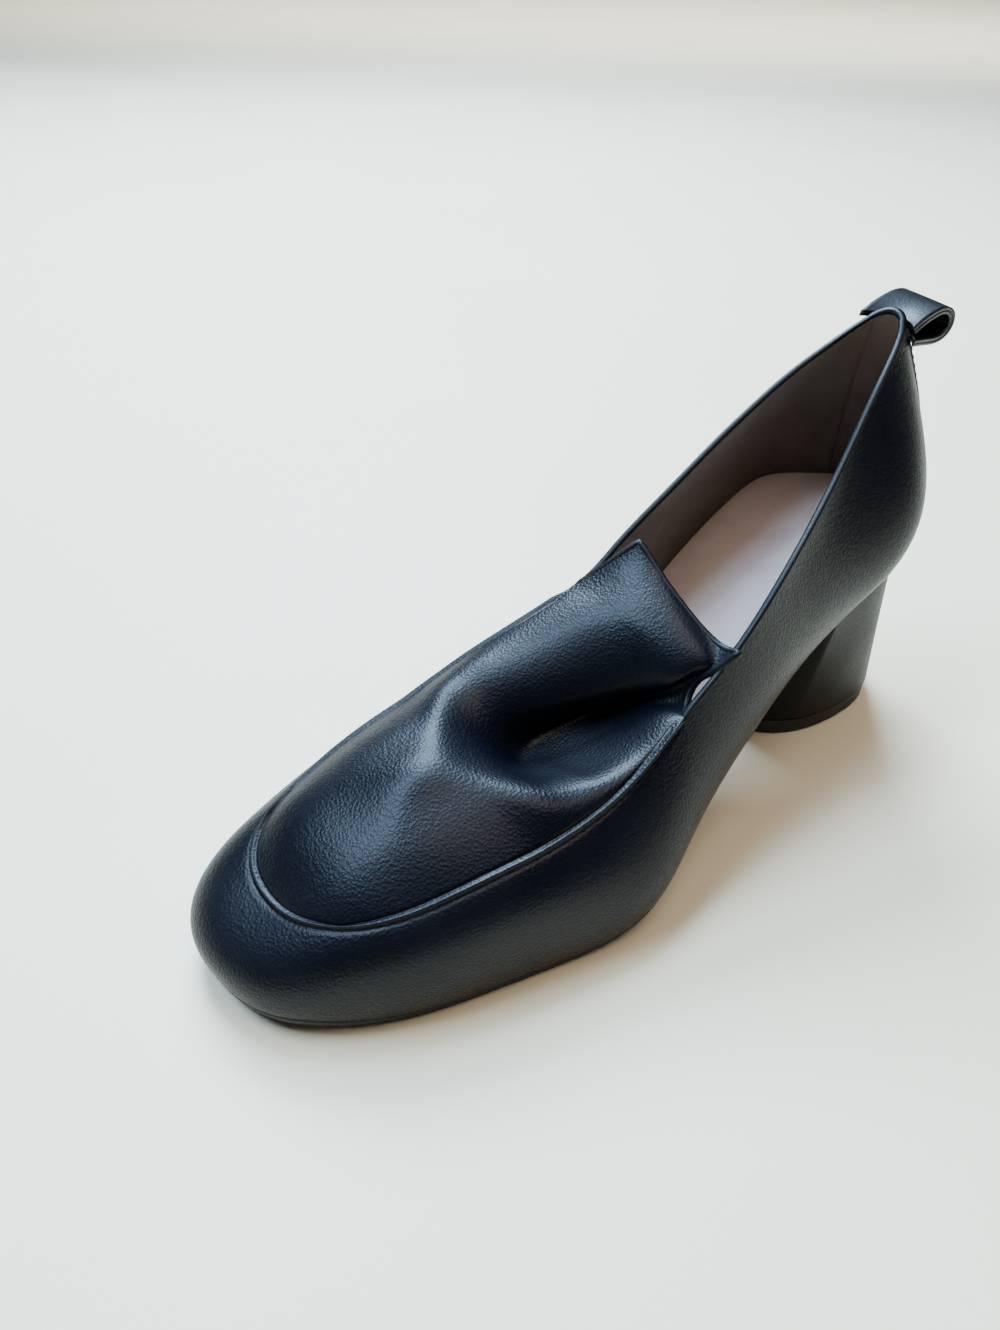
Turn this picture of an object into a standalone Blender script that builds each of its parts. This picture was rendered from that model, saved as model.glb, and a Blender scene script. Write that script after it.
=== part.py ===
# Block heel pump, left shoe: a loafer-cut upper with a raised apron and a folded-down tongue,
# on a thin sole and a covered block heel that flares towards the floor.
# Metres, +Z up. The wearer's left is +X and the toe points to -Y.
# The origin is on the floor, under the middle of the heel.
#
# Places on the last are written as (along, across, rise): along runs from the back of the
# shoe to the toe, across runs from the middle to the outer side, rise is above the floor.

import math

import bmesh
import bpy
import numpy as np

# The last
SHOE_LENGTH = 0.2373          # back of the heel cup to the tip of the toe
BALL_WIDTH = 0.087            # width that the across shares below are taken from
HEEL_HEIGHT = 0.0602          # rise of the heel seat above the tread
TOE_SPRING = 0.0048           # lift of the toe tip above the tread
COLLAR_HEIGHT = 0.0615        # collar above the seat at the back of the heel
APRON_HEIGHT = 0.0327         # apron seam above the feather line at the ball
TONGUE_LENGTH = 0.0245        # tongue past the throat
TONGUE_PACE = 0.22            # a station's length on the tongue, against one on the apron
APRON_CROWN = 0.0095          # height of the apron's dome over a line from seam to seam
FOLD_DEPTH = 0.0120           # how far the collapsed throat sinks under the same line

# Thicknesses and seams
WALL = 0.0018                 # leather and lining together
TONGUE_WALL = 0.0011          # thinned leather of the tongue
SEAM_RISE = 0.0009            # raised edge around the apron
SEAM_HALF_WIDTH = 0.0014
STRIP_WIDTH = 0.0240          # back strip, across the foot of the heel cup
STRIP_RISE = 0.0006
STRIP_EDGE = 0.0008           # width over which the strip's edge steps down
SOLE_THICKNESS = 0.0038
SOLE_INSET = 0.0008           # sole edge inside the feather line
SOLE_ROUNDING = 0.0010
INSOLE_THICKNESS = 0.0050
INSOLE_PLAY = 0.0006          # insole edge to the inside of the wall
CLEARANCE = 0.0003            # between pieces that touch
ROOT_CLEARANCE = 0.0005       # between the pull loop's roots and the curved back

# The heel and its top lift
HEEL_TOP_LENGTH = 0.0465      # along its seat, from back to breast
HEEL_BACK_INSET = 0.0004      # top edge inside the feather line, at the back and at the breast
HEEL_SIDE_INSET = 0.0028
HEEL_BASE_LENGTH = 0.0640
HEEL_BASE_WIDTH = 0.0546
HEEL_KICK = 0.0062            # how much further back the base reaches than the top
HEEL_BASE_WIDEST = 0.40       # widest place of the base, share of its length from the back
HEEL_SQUARENESS = 2.3         # 2 is an ellipse
BREAST_ROUNDING = 0.0030      # depth of the breast's rounded corners
LIFT_THICKNESS = 0.0060
LIFT_INSET = 0.0003
LIFT_ROUNDING = 0.0007

# The pull loop
LOOP_WIDTH = 0.0175
LOOP_THICKNESS = 0.0021
LOOP_REACH = 0.0175           # from its root to the outer fold
LOOP_SKEW = 0.16              # how much more its inner edge reaches out, and its outer edge less
LOOP_HEIGHT = 0.0080          # between the mean lines of its two layers at the middle
LOOP_DROP = 0.0035            # upper root below the collar's edge
LOOP_WRAP = 0.0050            # how far its edges reach forward round the back

# The tread surface that the upper stands on, as seen from the side
TREAD = SOLE_THICKNESS + CLEARANCE
TREAD_ROWS = (
    # place,            along,  heel,   spring
    ("behind the seat", -0.050, 1.006, 0.00),
    ("back of seat",    0.016,  0.995, 0.00),
    ("seat",            0.050,  0.976, 0.00),
    ("under the heel",  0.111,  0.940, 0.00),
    ("breast",          0.181,  0.843, 0.00),
    ("rear waist",      0.280,  0.677, 0.00),
    ("waist",           0.386,  0.473, 0.00),
    ("front waist",     0.492,  0.255, 0.00),
    ("behind the ball", 0.586,  0.088, 0.00),
    ("ball",            0.640,  0.026, 0.00),
    ("tread start",     0.690,  0.000, 0.00),
    ("tread end",       0.810,  0.000, 0.00),
    ("toe bend",        0.888,  0.000, 0.24),
    ("toe",             0.962,  0.000, 0.72),
    ("tip",             1.000,  0.000, 1.00),
    ("past the tip",    1.050,  0.000, 1.40),
)

# How thick the sole is from heel to toe, as a share of SOLE_THICKNESS,
# and the insole as a share of INSOLE_THICKNESS
LAYER_ROWS = (
    # place,        along,  sole, insole
    ("back",        -0.050, 0.60, 1.40),
    ("seat",        0.100,  0.60, 1.40),
    ("waist",       0.400,  0.75, 1.00),
    ("ball",        0.600,  1.00, 0.80),
    ("toe",         1.050,  1.00, 0.60),
)

# The wall of the upper, once round from the back, by the outer side, to the toe and back by the
# inner side. along is a share of SHOE_LENGTH, across a share of BALL_WIDTH; collar and seam are
# the shares of COLLAR_HEIGHT and APRON_HEIGHT that the rim stands above the foot of the wall;
# flare and turn are the wall's angles, outwards at its foot and inwards at its rim.
WALL_ROWS = (
    # place,           foot along, across, rim along, across, collar, seam,  flare, turn
    ("back",             0.0148,   0.000,  0.0600,   0.000,  1.000,  0.000,  26,   29),
    ("outer heel",       0.0476,   0.202,  0.0780,   0.082,  0.960,  0.000,  31,   24),
    ("outer cup",        0.1080,   0.336,  0.1420,   0.147,  0.818,  0.000,  22,   30),
    ("outer breast",     0.1810,   0.350,  0.2330,   0.226,  0.615,  0.000,  12,   17),
    ("outer quarter",    0.2800,   0.357,  0.3300,   0.303,  0.540,  0.000,  14,   13),
    ("outer waist",      0.3860,   0.402,  0.4190,   0.348,  0.509,  0.000,  13,   16),
    ("outer throat",     0.4920,   0.472,  0.5030,   0.366,  0.270,  0.508,  12,   28),
    ("outer ball back",  0.5860,   0.548,  0.6010,   0.392,  0.000,  0.990,  10,   44),
    ("outer ball",       0.6870,   0.500,  0.7120,   0.368,  0.000,  0.975,  10,   55),
    ("outer toe joint",  0.7990,   0.418,  0.8020,   0.315,  0.000,  0.884,  11,   61),
    ("outer toe",        0.8880,   0.329,  0.8700,   0.238,  0.000,  0.749,  12,   65),
    ("outer corner",     0.9620,   0.193,  0.9140,   0.112,  0.000,  0.602,  13,   68),
    ("outer tip",        0.9945,   0.037,  0.9280,  -0.018,  0.000,  0.515,  14,   70),
    ("inner tip",        0.9990,  -0.152,  0.9240,  -0.142,  0.000,  0.540,  14,   70),
    ("inner corner",     0.9670,  -0.308,  0.8985,  -0.236,  0.000,  0.645,  11,   66),
    ("inner toe",        0.8930,  -0.387,  0.8560,  -0.286,  0.000,  0.800,   8,   60),
    ("inner toe joint",  0.8010,  -0.426,  0.7920,  -0.321,  0.000,  0.940,   6,   51),
    ("inner ball",       0.6950,  -0.405,  0.7070,  -0.319,  0.000,  1.110,   7,   40),
    ("inner ball back",  0.5900,  -0.336,  0.6055,  -0.275,  0.000,  1.275,  10,   30),
    ("inner throat",     0.4890,  -0.270,  0.4900,  -0.184,  0.364,  0.685,  14,   24),
    ("inner waist",      0.3835,  -0.262,  0.4176,  -0.182,  0.667,  0.000,  15,   20),
    ("inner quarter",    0.2823,  -0.294,  0.3375,  -0.177,  0.662,  0.000,  16,   20),
    ("inner breast",     0.1900,  -0.313,  0.2440,  -0.168,  0.722,  0.000,  16,   22),
    ("inner cup",        0.1050,  -0.295,  0.1420,  -0.137,  0.824,  0.000,  18,   25),
    ("inner heel",       0.0503,  -0.176,  0.0780,  -0.080,  0.942,  0.000,  23,   25),
)
FOOT_PULL = 0.36              # reach of the wall's foot and rim tangents, share of its height
RIM_PULL = 0.38
OUTER_THROAT = 6              # rows of WALL_ROWS where the apron seam ends
INNER_THROAT = 19
OUTER_APRON_CORNER = 10.5     # places between rows where the apron's sides meet its front
INNER_APRON_CORNER = 14.5

# The apron and tongue, a row for each section from the toe seam to the tongue's end. station is
# 0 at the apron's front corners, 1 at the throat and 2 at the tongue's end. Seven lines run along
# the apron and pull its surface to them; the edge line is the tongue's outer edge. The first table
# is how far across each line lies, a share from the outer edge to the inner edge.
APRON_ACROSS = (
    # station, edge,  floor, valley,  limb, shoulder, roof, slope
    (0.000,  0.00,  0.12,  0.28,  0.43,  0.57,  0.72,  0.88),
    (0.111,  0.00,  0.13,  0.29,  0.43,  0.57,  0.71,  0.87),
    (0.222,  0.00,  0.13,  0.29,  0.43,  0.57,  0.71,  0.87),
    (0.333,  0.00,  0.13,  0.29,  0.43,  0.57,  0.71,  0.87),
    (0.550,  0.00,  0.13,  0.29,  0.43,  0.57,  0.71,  0.87),
    (0.644,  0.00,  0.05,  0.16,  0.43,  0.65,  0.83,  0.96),
    (0.722,  0.00,  0.05,  0.20,  0.50,  0.60,  0.84,  0.94),
    (0.778,  0.00,  0.06,  0.22,  0.59,  0.53,  0.79,  0.95),
    (0.889,  0.00,  0.07,  0.27,  0.57,  0.38,  0.73,  0.94),
    (1.000,  0.00,  0.10,  0.28,  0.42,  0.18,  0.70,  0.92),
    (1.250,  0.06,  0.10,  0.20,  0.22,  0.10,  0.64,  0.92),
    (1.500,  0.10,  0.11,  0.13,  0.12,  0.13,  0.62,  0.92),
    (1.750,  0.05,  0.06,  0.07,  0.08,  0.16,  0.62,  0.94),
    (2.000,  0.00,  0.03,  0.07,  0.15,  0.34,  0.69,  0.92),
)
# The second is each line's rise over the straight line between the edges: a share of APRON_CROWN
# where it is over it, and of FOLD_DEPTH where it is under it
APRON_RISE = (
    # station, edge,  floor, valley,  limb, shoulder, roof, slope
    (0.000,  0.00,  0.00,  0.00,  0.00,  0.00,  0.00,  0.00),
    (0.111,  0.00,  0.30,  0.48,  0.54,  0.54,  0.47,  0.30),
    (0.222,  0.00,  0.46,  0.76,  0.85,  0.85,  0.75,  0.45),
    (0.333,  0.00,  0.54,  0.92,  1.03,  1.03,  0.90,  0.53),
    (0.550,  0.00,  0.58,  0.98,  1.04,  1.10,  1.01,  0.61),
    (0.644,  0.00,  0.37,  0.97,  0.02,  0.52,  1.11,  0.19),
    (0.722,  0.00,  0.45,  0.37, -1.12,  0.20,  0.84,  0.41),
    (0.778,  0.00,  0.48, -0.38, -1.34, -0.08,  0.80,  0.35),
    (0.889,  0.00,  0.14, -0.98, -1.34, -0.40,  0.70,  0.25),
    (1.000,  0.00, -0.15, -1.20, -1.20, -0.22,  0.74,  0.20),
    (1.250, -0.40, -0.56, -0.70, -0.45,  0.10,  0.68,  0.18),
    (1.500, -0.38, -0.40, -0.34, -0.14,  0.20,  0.44,  0.14),
    (1.750, -0.21, -0.24, -0.25, -0.20, -0.02,  0.14,  0.04),
    (2.000,  0.00, -0.10, -0.22, -0.31, -0.29, -0.18, -0.03),
)

# The tongue's two end corners, along, across and rise in shares of TONGUE_LENGTH from the throat
OUTER_TONGUE_CORNER = (-0.706, -0.016, 0.522)
INNER_TONGUE_CORNER = (-0.665, 0.359, 0.543)

# How finely the surfaces are divided
THROAT_STEP = 0.02            # step back from the throat that gives the rim's direction there
SIDE_STEPS = 17               # along each side of the apron
TONGUE_STEPS = 9
THINNING_ROWS = 2             # rows before the throat over which the leather thins
QUARTER_STEPS = 13            # throat to back strip, each side
WALL_SHARES = (0.0, 0.09, 0.20, 0.32, 0.45, 0.58, 0.71, 0.83, 0.93, 1.0)
ACROSS_PLACES = (0.0, 0.072, 0.30, 0.66, 1.04, 1.42, 1.80, 2.15, 2.5, 2.85, 3.20, 3.58, 3.96, 4.34, 4.70, 4.928, 5.0)
SOLE_COLUMNS = 64
HEEL_COLUMNS = 40
HEEL_STEPS = 4                # up the heel
BREAST_COLUMN = 14            # column of the heel's breast corner, counted from the back
LOOP_COLUMNS = 8
LOOP_STEPS = 26
CAP_COLUMNS = 6
SEAT_TURN = 0.09              # how far round from the back the loop's seat is traced
SEAT_STEPS = 60


def start_clean():
    for thing in list(bpy.data.objects):
        bpy.data.objects.remove(thing, do_unlink=True)


def material(name, colour, roughness, metallic=0.0):
    made = bpy.data.materials.new(name)
    made.use_nodes = True
    shader = made.node_tree.nodes["Principled BSDF"]
    shader.inputs["Base Color"].default_value = (*colour, 1.0)
    shader.inputs["Roughness"].default_value = roughness
    shader.inputs["Metallic"].default_value = metallic
    made.diffuse_color = (*colour, 1.0)
    return made


# Smooth curves through the tables' rows

def closed_curve(rows, turns):
    """Values of a smooth closed curve through equally spaced rows; turns runs from 0 to 1."""
    count = len(rows)
    eye = np.eye(count)
    system = 4 * eye + np.roll(eye, 1, axis=1) + np.roll(eye, -1, axis=1)
    bend = np.linalg.solve(system, 6 * (np.roll(rows, -1, 0) - 2 * rows + np.roll(rows, 1, 0)))
    place = (np.asarray(turns, float) % 1.0) * count
    low = np.floor(place).astype(int)
    after = (place - low)[:, None]
    before = 1 - after
    low %= count
    high = (low + 1) % count
    straight = before * rows[low] + after * rows[high]
    return straight + ((before ** 3 - before) * bend[low] + (after ** 3 - after) * bend[high]) / 6


def open_curve(knots, rows, places):
    """Natural cubic curve through rows at knots, read at places."""
    knots = np.asarray(knots, float)
    rows = np.asarray(rows, float)
    gap = np.diff(knots)
    count = len(knots)
    system = np.eye(count)
    load = np.zeros_like(rows)
    slope = np.diff(rows, axis=0) / gap[:, None]
    for k in range(1, count - 1):
        system[k, k - 1:k + 2] = gap[k - 1], 2 * (gap[k - 1] + gap[k]), gap[k]
        load[k] = 6 * (slope[k] - slope[k - 1])
    bend = np.linalg.solve(system, load)
    places = np.asarray(places, float)
    low = np.clip(np.searchsorted(knots, places, side="right") - 1, 0, count - 2)
    width = gap[low][:, None]
    after = (places - knots[low])[:, None] / width
    before = 1 - after
    straight = before * rows[low] + after * rows[low + 1]
    curved = (before ** 3 - before) * bend[low] + (after ** 3 - after) * bend[low + 1]
    return straight + curved * width ** 2 / 6


def level_curve(knots, values, places):
    """Curve through values that never rises or falls past its rows, so flats stay flat."""
    knots = np.asarray(knots, float)
    values = np.asarray(values, float)
    gap = np.diff(knots)
    slope = np.diff(values) / gap
    lean = np.zeros(len(knots))
    for k in range(1, len(knots) - 1):
        if slope[k - 1] * slope[k] > 0:
            near, far = 2 * gap[k] + gap[k - 1], gap[k] + 2 * gap[k - 1]
            lean[k] = (near + far) / (near / slope[k - 1] + far / slope[k])
    lean[0], lean[-1] = slope[0], slope[-1]
    places = np.asarray(places, float)
    low = np.clip(np.searchsorted(knots, places, side="right") - 1, 0, len(knots) - 2)
    width = gap[low]
    q = (places - knots[low]) / width
    return ((2 * q ** 3 - 3 * q ** 2 + 1) * values[low] + (q ** 3 - 2 * q ** 2 + q) * width * lean[low]
            + (3 * q ** 2 - 2 * q ** 3) * values[low + 1] + (q ** 3 - q ** 2) * width * lean[low + 1])


def soft_curve(controls, places):
    """Curve that leaves its first control, is drawn towards the others and ends at its last."""
    controls = np.asarray(controls, float)
    last = len(controls) - 3
    knots = np.concatenate([[0.0] * 3, np.arange(last + 1), [last] * 3])
    drawn = []
    for place in places:
        span = min(int(place), last - 1) + 3
        near = [controls[span - 3 + k] for k in range(4)]
        for level in range(1, 4):
            for k in range(3, level - 1, -1):
                low, high = knots[span - 3 + k], knots[span + 1 + k - level]
                share = (place - low) / (high - low)
                near[k] = near[k - 1] * (1 - share) + near[k] * share
        drawn.append(near[3])
    return np.array(drawn)


def unit(vectors):
    return vectors / np.linalg.norm(vectors, axis=-1, keepdims=True)


# The last's own surfaces

def tread(along):
    """Rise of the surface that the upper and insole stand on."""
    share = np.asarray(along, float) / SHOE_LENGTH
    knots = [row[1] for row in TREAD_ROWS]
    heel = level_curve(knots, [row[2] for row in TREAD_ROWS], share)
    spring = level_curve(knots, [row[3] for row in TREAD_ROWS], share)
    return TREAD + heel * HEEL_HEIGHT + spring * TOE_SPRING


def layer(along, column, thickness):
    share = np.asarray(along, float) / SHOE_LENGTH
    return level_curve([row[1] for row in LAYER_ROWS], [row[column] for row in LAYER_ROWS], share) * thickness


def sole_top(along):
    return tread(along) - CLEARANCE


def sole_bottom(along):
    return sole_top(along) - layer(along, 2, SOLE_THICKNESS)


def insole_top(along):
    return tread(along) + layer(along, 3, INSOLE_THICKNESS)


WALL_VALUES = np.array([row[1:] for row in WALL_ROWS], float)


def wall_lines(turns):
    """Foot and rim of the wall, its outward direction and its two angles, at turns round the last."""
    row = closed_curve(WALL_VALUES, turns)
    foot_along, rim_along = row[:, 0] * SHOE_LENGTH, row[:, 2] * SHOE_LENGTH
    foot_rise = tread(foot_along)
    rim_rise = foot_rise + row[:, 4] * COLLAR_HEIGHT + row[:, 5] * APRON_HEIGHT
    foot = np.stack([foot_along, row[:, 1] * BALL_WIDTH, foot_rise], 1)
    rim = np.stack([rim_along, row[:, 3] * BALL_WIDTH, rim_rise], 1)
    return foot, rim, np.radians(row[:, 6]), np.radians(row[:, 7])


def outward(turns):
    """Level direction that points out of the wall."""
    step = 0.002
    ahead, behind = wall_lines(np.asarray(turns) + step), wall_lines(np.asarray(turns) - step)
    run = (ahead[0] + ahead[1] - behind[0] - behind[1])[:, :2]
    run = unit(run)
    return np.stack([-run[:, 1], run[:, 0], np.zeros(len(run))], 1)


def wall_points(turns, shares):
    """Outer face of the upper's wall: a column for each turn, a point for each share of its height."""
    turns = np.asarray(turns, float)
    foot, rim, flare, turn = wall_lines(turns)
    out = outward(turns)
    up = np.array([0.0, 0.0, 1.0])
    tall = np.linalg.norm(rim - foot, axis=1)[:, None]
    leave = out * np.sin(flare)[:, None] + up * np.cos(flare)[:, None]
    arrive = -out * np.sin(turn)[:, None] + up * np.cos(turn)[:, None]
    first = foot + leave * tall * FOOT_PULL
    second = rim - arrive * tall * RIM_PULL
    q = np.asarray(shares, float)[None, :, None]
    return ((1 - q) ** 3 * foot[:, None] + 3 * q * (1 - q) ** 2 * first[:, None]
            + 3 * q ** 2 * (1 - q) * second[:, None] + q ** 3 * rim[:, None])


def foot_loop(count, inset):
    """The feather line once round, set in by inset: index 0 at the back, count / 2 at the tip."""
    turns = np.arange(count) / count
    foot = wall_lines(turns)[0]
    step = 0.5 / count
    run = unit((wall_lines(turns + step)[0] - wall_lines(turns - step)[0])[:, :2])
    foot[:, 0] += run[:, 1] * inset
    foot[:, 1] -= run[:, 0] * inset
    return foot


# Mesh building. A place on the last turns into the model's X, Y and Z here.

HEEL_MIDDLE = WALL_ROWS[0][1] * SHOE_LENGTH + HEEL_BACK_INSET - HEEL_KICK + HEEL_BASE_LENGTH / 2


def to_model(place):
    along, across, rise = place
    return (across, HEEL_MIDDLE - along, rise)


def add_points(mesh, places):
    return [mesh.verts.new(to_model(place)) for place in places]


def add_sheet(mesh, grid):
    """Quads over a grid of vertices, facing up where rows run back and columns run to the inner side."""
    for near, far in zip(grid[:-1], grid[1:]):
        for a, b, c, d in zip(near[:-1], far[:-1], far[1:], near[1:]):
            mesh.faces.new((a, b, c, d))


def add_object(mesh, name, materials, collection):
    data = bpy.data.meshes.new(name)
    mesh.to_mesh(data)
    mesh.free()
    data.shade_smooth()
    made = bpy.data.objects.new(name, data)
    for each in materials:
        data.materials.append(each)
    collection.objects.link(made)
    return made


def add_cap(mesh, loop, places, rise_at, facing_up):
    """Closes a loop with rows of quads from its outer half to its inner half."""
    half = len(loop) // 2
    rows = []
    for k in range(1, half):
        outer, inner = places[k], places[-k]
        row = [loop[k]]
        for c in range(1, CAP_COLUMNS):
            along, across, rise = outer + (inner - outer) * c / CAP_COLUMNS
            row.append(mesh.verts.new(to_model((along, across, rise_at(along) if rise_at else rise))))
        row.append(loop[-k])
        rows.append(row)

    def face(*corners):
        mesh.faces.new(corners if facing_up else corners[::-1])

    for near, far in zip(rows[:-1], rows[1:]):
        for c in range(CAP_COLUMNS):
            face(near[c], near[c + 1], far[c + 1], far[c])
    for c in range(CAP_COLUMNS):
        face(loop[0], rows[0][c + 1], rows[0][c])
        face(loop[half], rows[-1][c], rows[-1][c + 1])


def add_block(mesh, loops, bottom_rise=None, top_rise=None):
    """A solid between loops of equal length, listed from its bottom to its top."""
    rings = [add_points(mesh, loop) for loop in loops]
    for lower, upper in zip(rings[:-1], rings[1:]):
        for k in range(len(lower)):
            n = (k + 1) % len(lower)
            mesh.faces.new((lower[k], upper[k], upper[n], lower[n]))
    add_cap(mesh, rings[0], loops[0], bottom_rise, False)
    add_cap(mesh, rings[-1], loops[-1], top_rise, True)


# The upper

def apron_shares():
    """How far across the apron's front each of its columns starts."""
    return soft_curve([[across] for across in APRON_ACROSS[0][1:]] + [[1.0]], ACROSS_PLACES)[:, 0]


def apron_ends(station, corner_turns):
    """The outer and inner ends of a section: on the rim, and past the throat on the tongue's own edges."""
    outer_corner, outer_end, inner_corner, inner_end = corner_turns
    on_apron = min(station, 1.0)
    past = station - on_apron
    ends = []
    for corner, end, tip in ((outer_corner, outer_end, OUTER_TONGUE_CORNER),
                             (inner_corner, inner_end, INNER_TONGUE_CORNER)):
        turns = [corner + (end - corner) * on_apron, corner + (end - corner) * (1 - THROAT_STEP)]
        here, before = wall_lines(np.array(turns))[1]
        if past > 0:
            reach = np.array(tip) * TONGUE_LENGTH
            leave = unit(here - before) * np.linalg.norm(reach)
            here = (here + leave * (past ** 3 - 2 * past ** 2 + past) + reach * (3 * past ** 2 - 2 * past ** 3)
                    + reach * (past ** 3 - past ** 2))
        ends.append(here)
    return ends


def paced(stations):
    """Stations spaced as they lie on the shoe: those on the tongue are closer together."""
    stations = np.asarray(stations, float)
    return np.where(stations > 1.0, 1.0 + (stations - 1.0) * TONGUE_PACE, stations)


def apron_rows(stations, corner_turns):
    """Rows of points across the apron and tongue, for stations from the toe seam to the end."""
    knots = paced([row[0] for row in APRON_ACROSS])
    lines = np.stack([open_curve(knots, [row[1:] for row in table], paced(stations))
                      for table in (APRON_ACROSS, APRON_RISE)], axis=-1)
    lines[np.asarray(stations) <= 1.0, 0] = 0.0
    outer_corner, inner_corner = corner_turns[0], corner_turns[2]
    shares = apron_shares()
    front = wall_lines(outer_corner + (inner_corner - outer_corner) * shares)[1]
    shares = shares[:, None]
    bulge = front - (front[0] * (1 - shares) + front[-1] * shares)
    rows = []
    for station, line in zip(stations, lines):
        outer, inner = apron_ends(station, corner_turns)
        chord = inner - outer
        lift = unit(np.array([0.0, -chord[2], chord[1]]))
        lift *= math.copysign(1.0, lift[2])
        controls = []
        for across, rise in line:
            height = rise * (APRON_CROWN if rise > 0 else FOLD_DEPTH)
            controls.append(outer + chord * across + lift * height)
        controls.append(inner)
        rows.append(soft_curve(controls, ACROSS_PLACES) + bulge * (1 - min(station, 1.0)) ** 2)
    return rows


def upper_columns():
    """Turns round the last for the wall's columns, and where the apron's columns lie in them."""
    count = len(WALL_ROWS)
    outer_end, inner_end = OUTER_THROAT / count, INNER_THROAT / count
    outer_corner, inner_corner = OUTER_APRON_CORNER / count, INNER_APRON_CORNER / count
    side_length = SHOE_LENGTH * (WALL_VALUES[int(OUTER_APRON_CORNER), 2] - WALL_VALUES[OUTER_THROAT, 2])
    seam = SEAM_HALF_WIDTH / side_length
    stations = np.concatenate([[0.0], np.linspace(seam, 1.0, SIDE_STEPS)])
    front = outer_corner + (inner_corner - outer_corner) * apron_shares()
    outer_side = outer_corner + (outer_end - outer_corner) * stations
    inner_side = inner_corner + (inner_end - inner_corner) * stations
    heel_row = WALL_VALUES[1, 1] * BALL_WIDTH
    strip = STRIP_WIDTH / 2 / heel_row / count
    edge = STRIP_EDGE / heel_row / count
    quarter = np.linspace(outer_end, strip + edge, QUARTER_STEPS)[1:]
    strip_columns = np.linspace(strip, -strip, 5)
    inner_quarter = np.linspace(-strip - edge, inner_end - 1.0, QUARTER_STEPS)[:-1]
    back = np.concatenate([quarter, strip_columns, inner_quarter])
    corners = (outer_corner, outer_end, inner_corner, inner_end)
    return stations, front, outer_side, inner_side, back, strip, corners


def make_upper(materials, collection):
    stations, front, outer_side, inner_side, back, strip, corners = upper_columns()
    # columns run from the apron's outer corner over its front, back along the inner side,
    # round the heel and forward again to where they began
    around = np.concatenate([front, inner_side[1:], back[::-1], outer_side[::-1][:-1]])
    points = wall_points(around, WALL_SHARES)
    out = outward(around)
    on_strip = np.abs((around + 0.5) % 1.0 - 0.5) <= strip * 1.001
    points[on_strip] += (out[on_strip] * STRIP_RISE)[:, None]
    on_seam = (around >= corners[1] - 1e-9) & (around <= corners[3] + 1e-9)
    facing = unit(out + np.array([0.0, 0.0, 1.0]))
    points[on_seam, -1] += facing[on_seam] * SEAM_RISE

    mesh = bmesh.new()
    wall = [add_points(mesh, column) for column in points]
    columns = len(wall)
    add_sheet(mesh, [wall[0]] + wall[::-1])

    rims = [column[-1] for column in wall]
    across_count = len(front)
    inner_rims = rims[across_count - 1:across_count - 1 + len(stations)]
    outer_rims = [rims[0]] + rims[:columns - len(stations):-1]
    all_stations = np.concatenate([stations, np.linspace(1.0, 2.0, TONGUE_STEPS + 1)[1:]])
    rows = apron_rows(all_stations, corners)
    grid = [rims[:across_count]]
    for k in range(1, len(all_stations)):
        if k <= len(stations) - THINNING_ROWS:
            full_count = len(mesh.verts)
        inside = add_points(mesh, rows[k][1:-1])
        if k < len(stations):
            grid.append([outer_rims[k]] + inside + [inner_rims[k]])
        else:
            ends = add_points(mesh, (rows[k][0], rows[k][-1]))
            grid.append([ends[0]] + inside + [ends[1]])
    add_sheet(mesh, grid)

    upper = add_object(mesh, "upper", materials, collection)
    full = upper.vertex_groups.new(name="full_thickness")
    full.add(list(range(full_count)), 1.0, "REPLACE")
    wall_maker = upper.modifiers.new("wall", "SOLIDIFY")
    wall_maker.thickness = WALL
    wall_maker.offset = -1.0
    wall_maker.vertex_group = full.name
    wall_maker.thickness_vertex_group = TONGUE_WALL / WALL
    wall_maker.material_offset = 1
    wall_maker.material_offset_rim = 0
    return upper


# Sole, insole, heel and top lift

def make_outsole(materials, collection):
    edge = foot_loop(SOLE_COLUMNS, SOLE_INSET)
    inside = foot_loop(SOLE_COLUMNS, SOLE_INSET + SOLE_ROUNDING)
    along, inside_along = edge[:, 0], inside[:, 0]
    loops = []
    for source, rise in ((inside, sole_bottom(inside_along)), (edge, sole_bottom(along) + SOLE_ROUNDING),
                         (edge, sole_top(along))):
        loop = source.copy()
        loop[:, 2] = rise
        loops.append(loop)
    mesh = bmesh.new()
    add_block(mesh, loops, sole_bottom, sole_top)
    return add_object(mesh, "outsole", materials, collection)


def make_insole(materials, collection):
    edge = foot_loop(SOLE_COLUMNS, WALL + INSOLE_PLAY)
    loops = [edge.copy(), edge.copy()]
    loops[0][:, 2] = tread(edge[:, 0])
    loops[1][:, 2] = insole_top(edge[:, 0])
    mesh = bmesh.new()
    add_block(mesh, loops, tread, insole_top)
    return add_object(mesh, "insole", materials, collection)


def heel_top_back():
    return wall_lines([0.0])[0][0, 0] + HEEL_BACK_INSET


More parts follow.
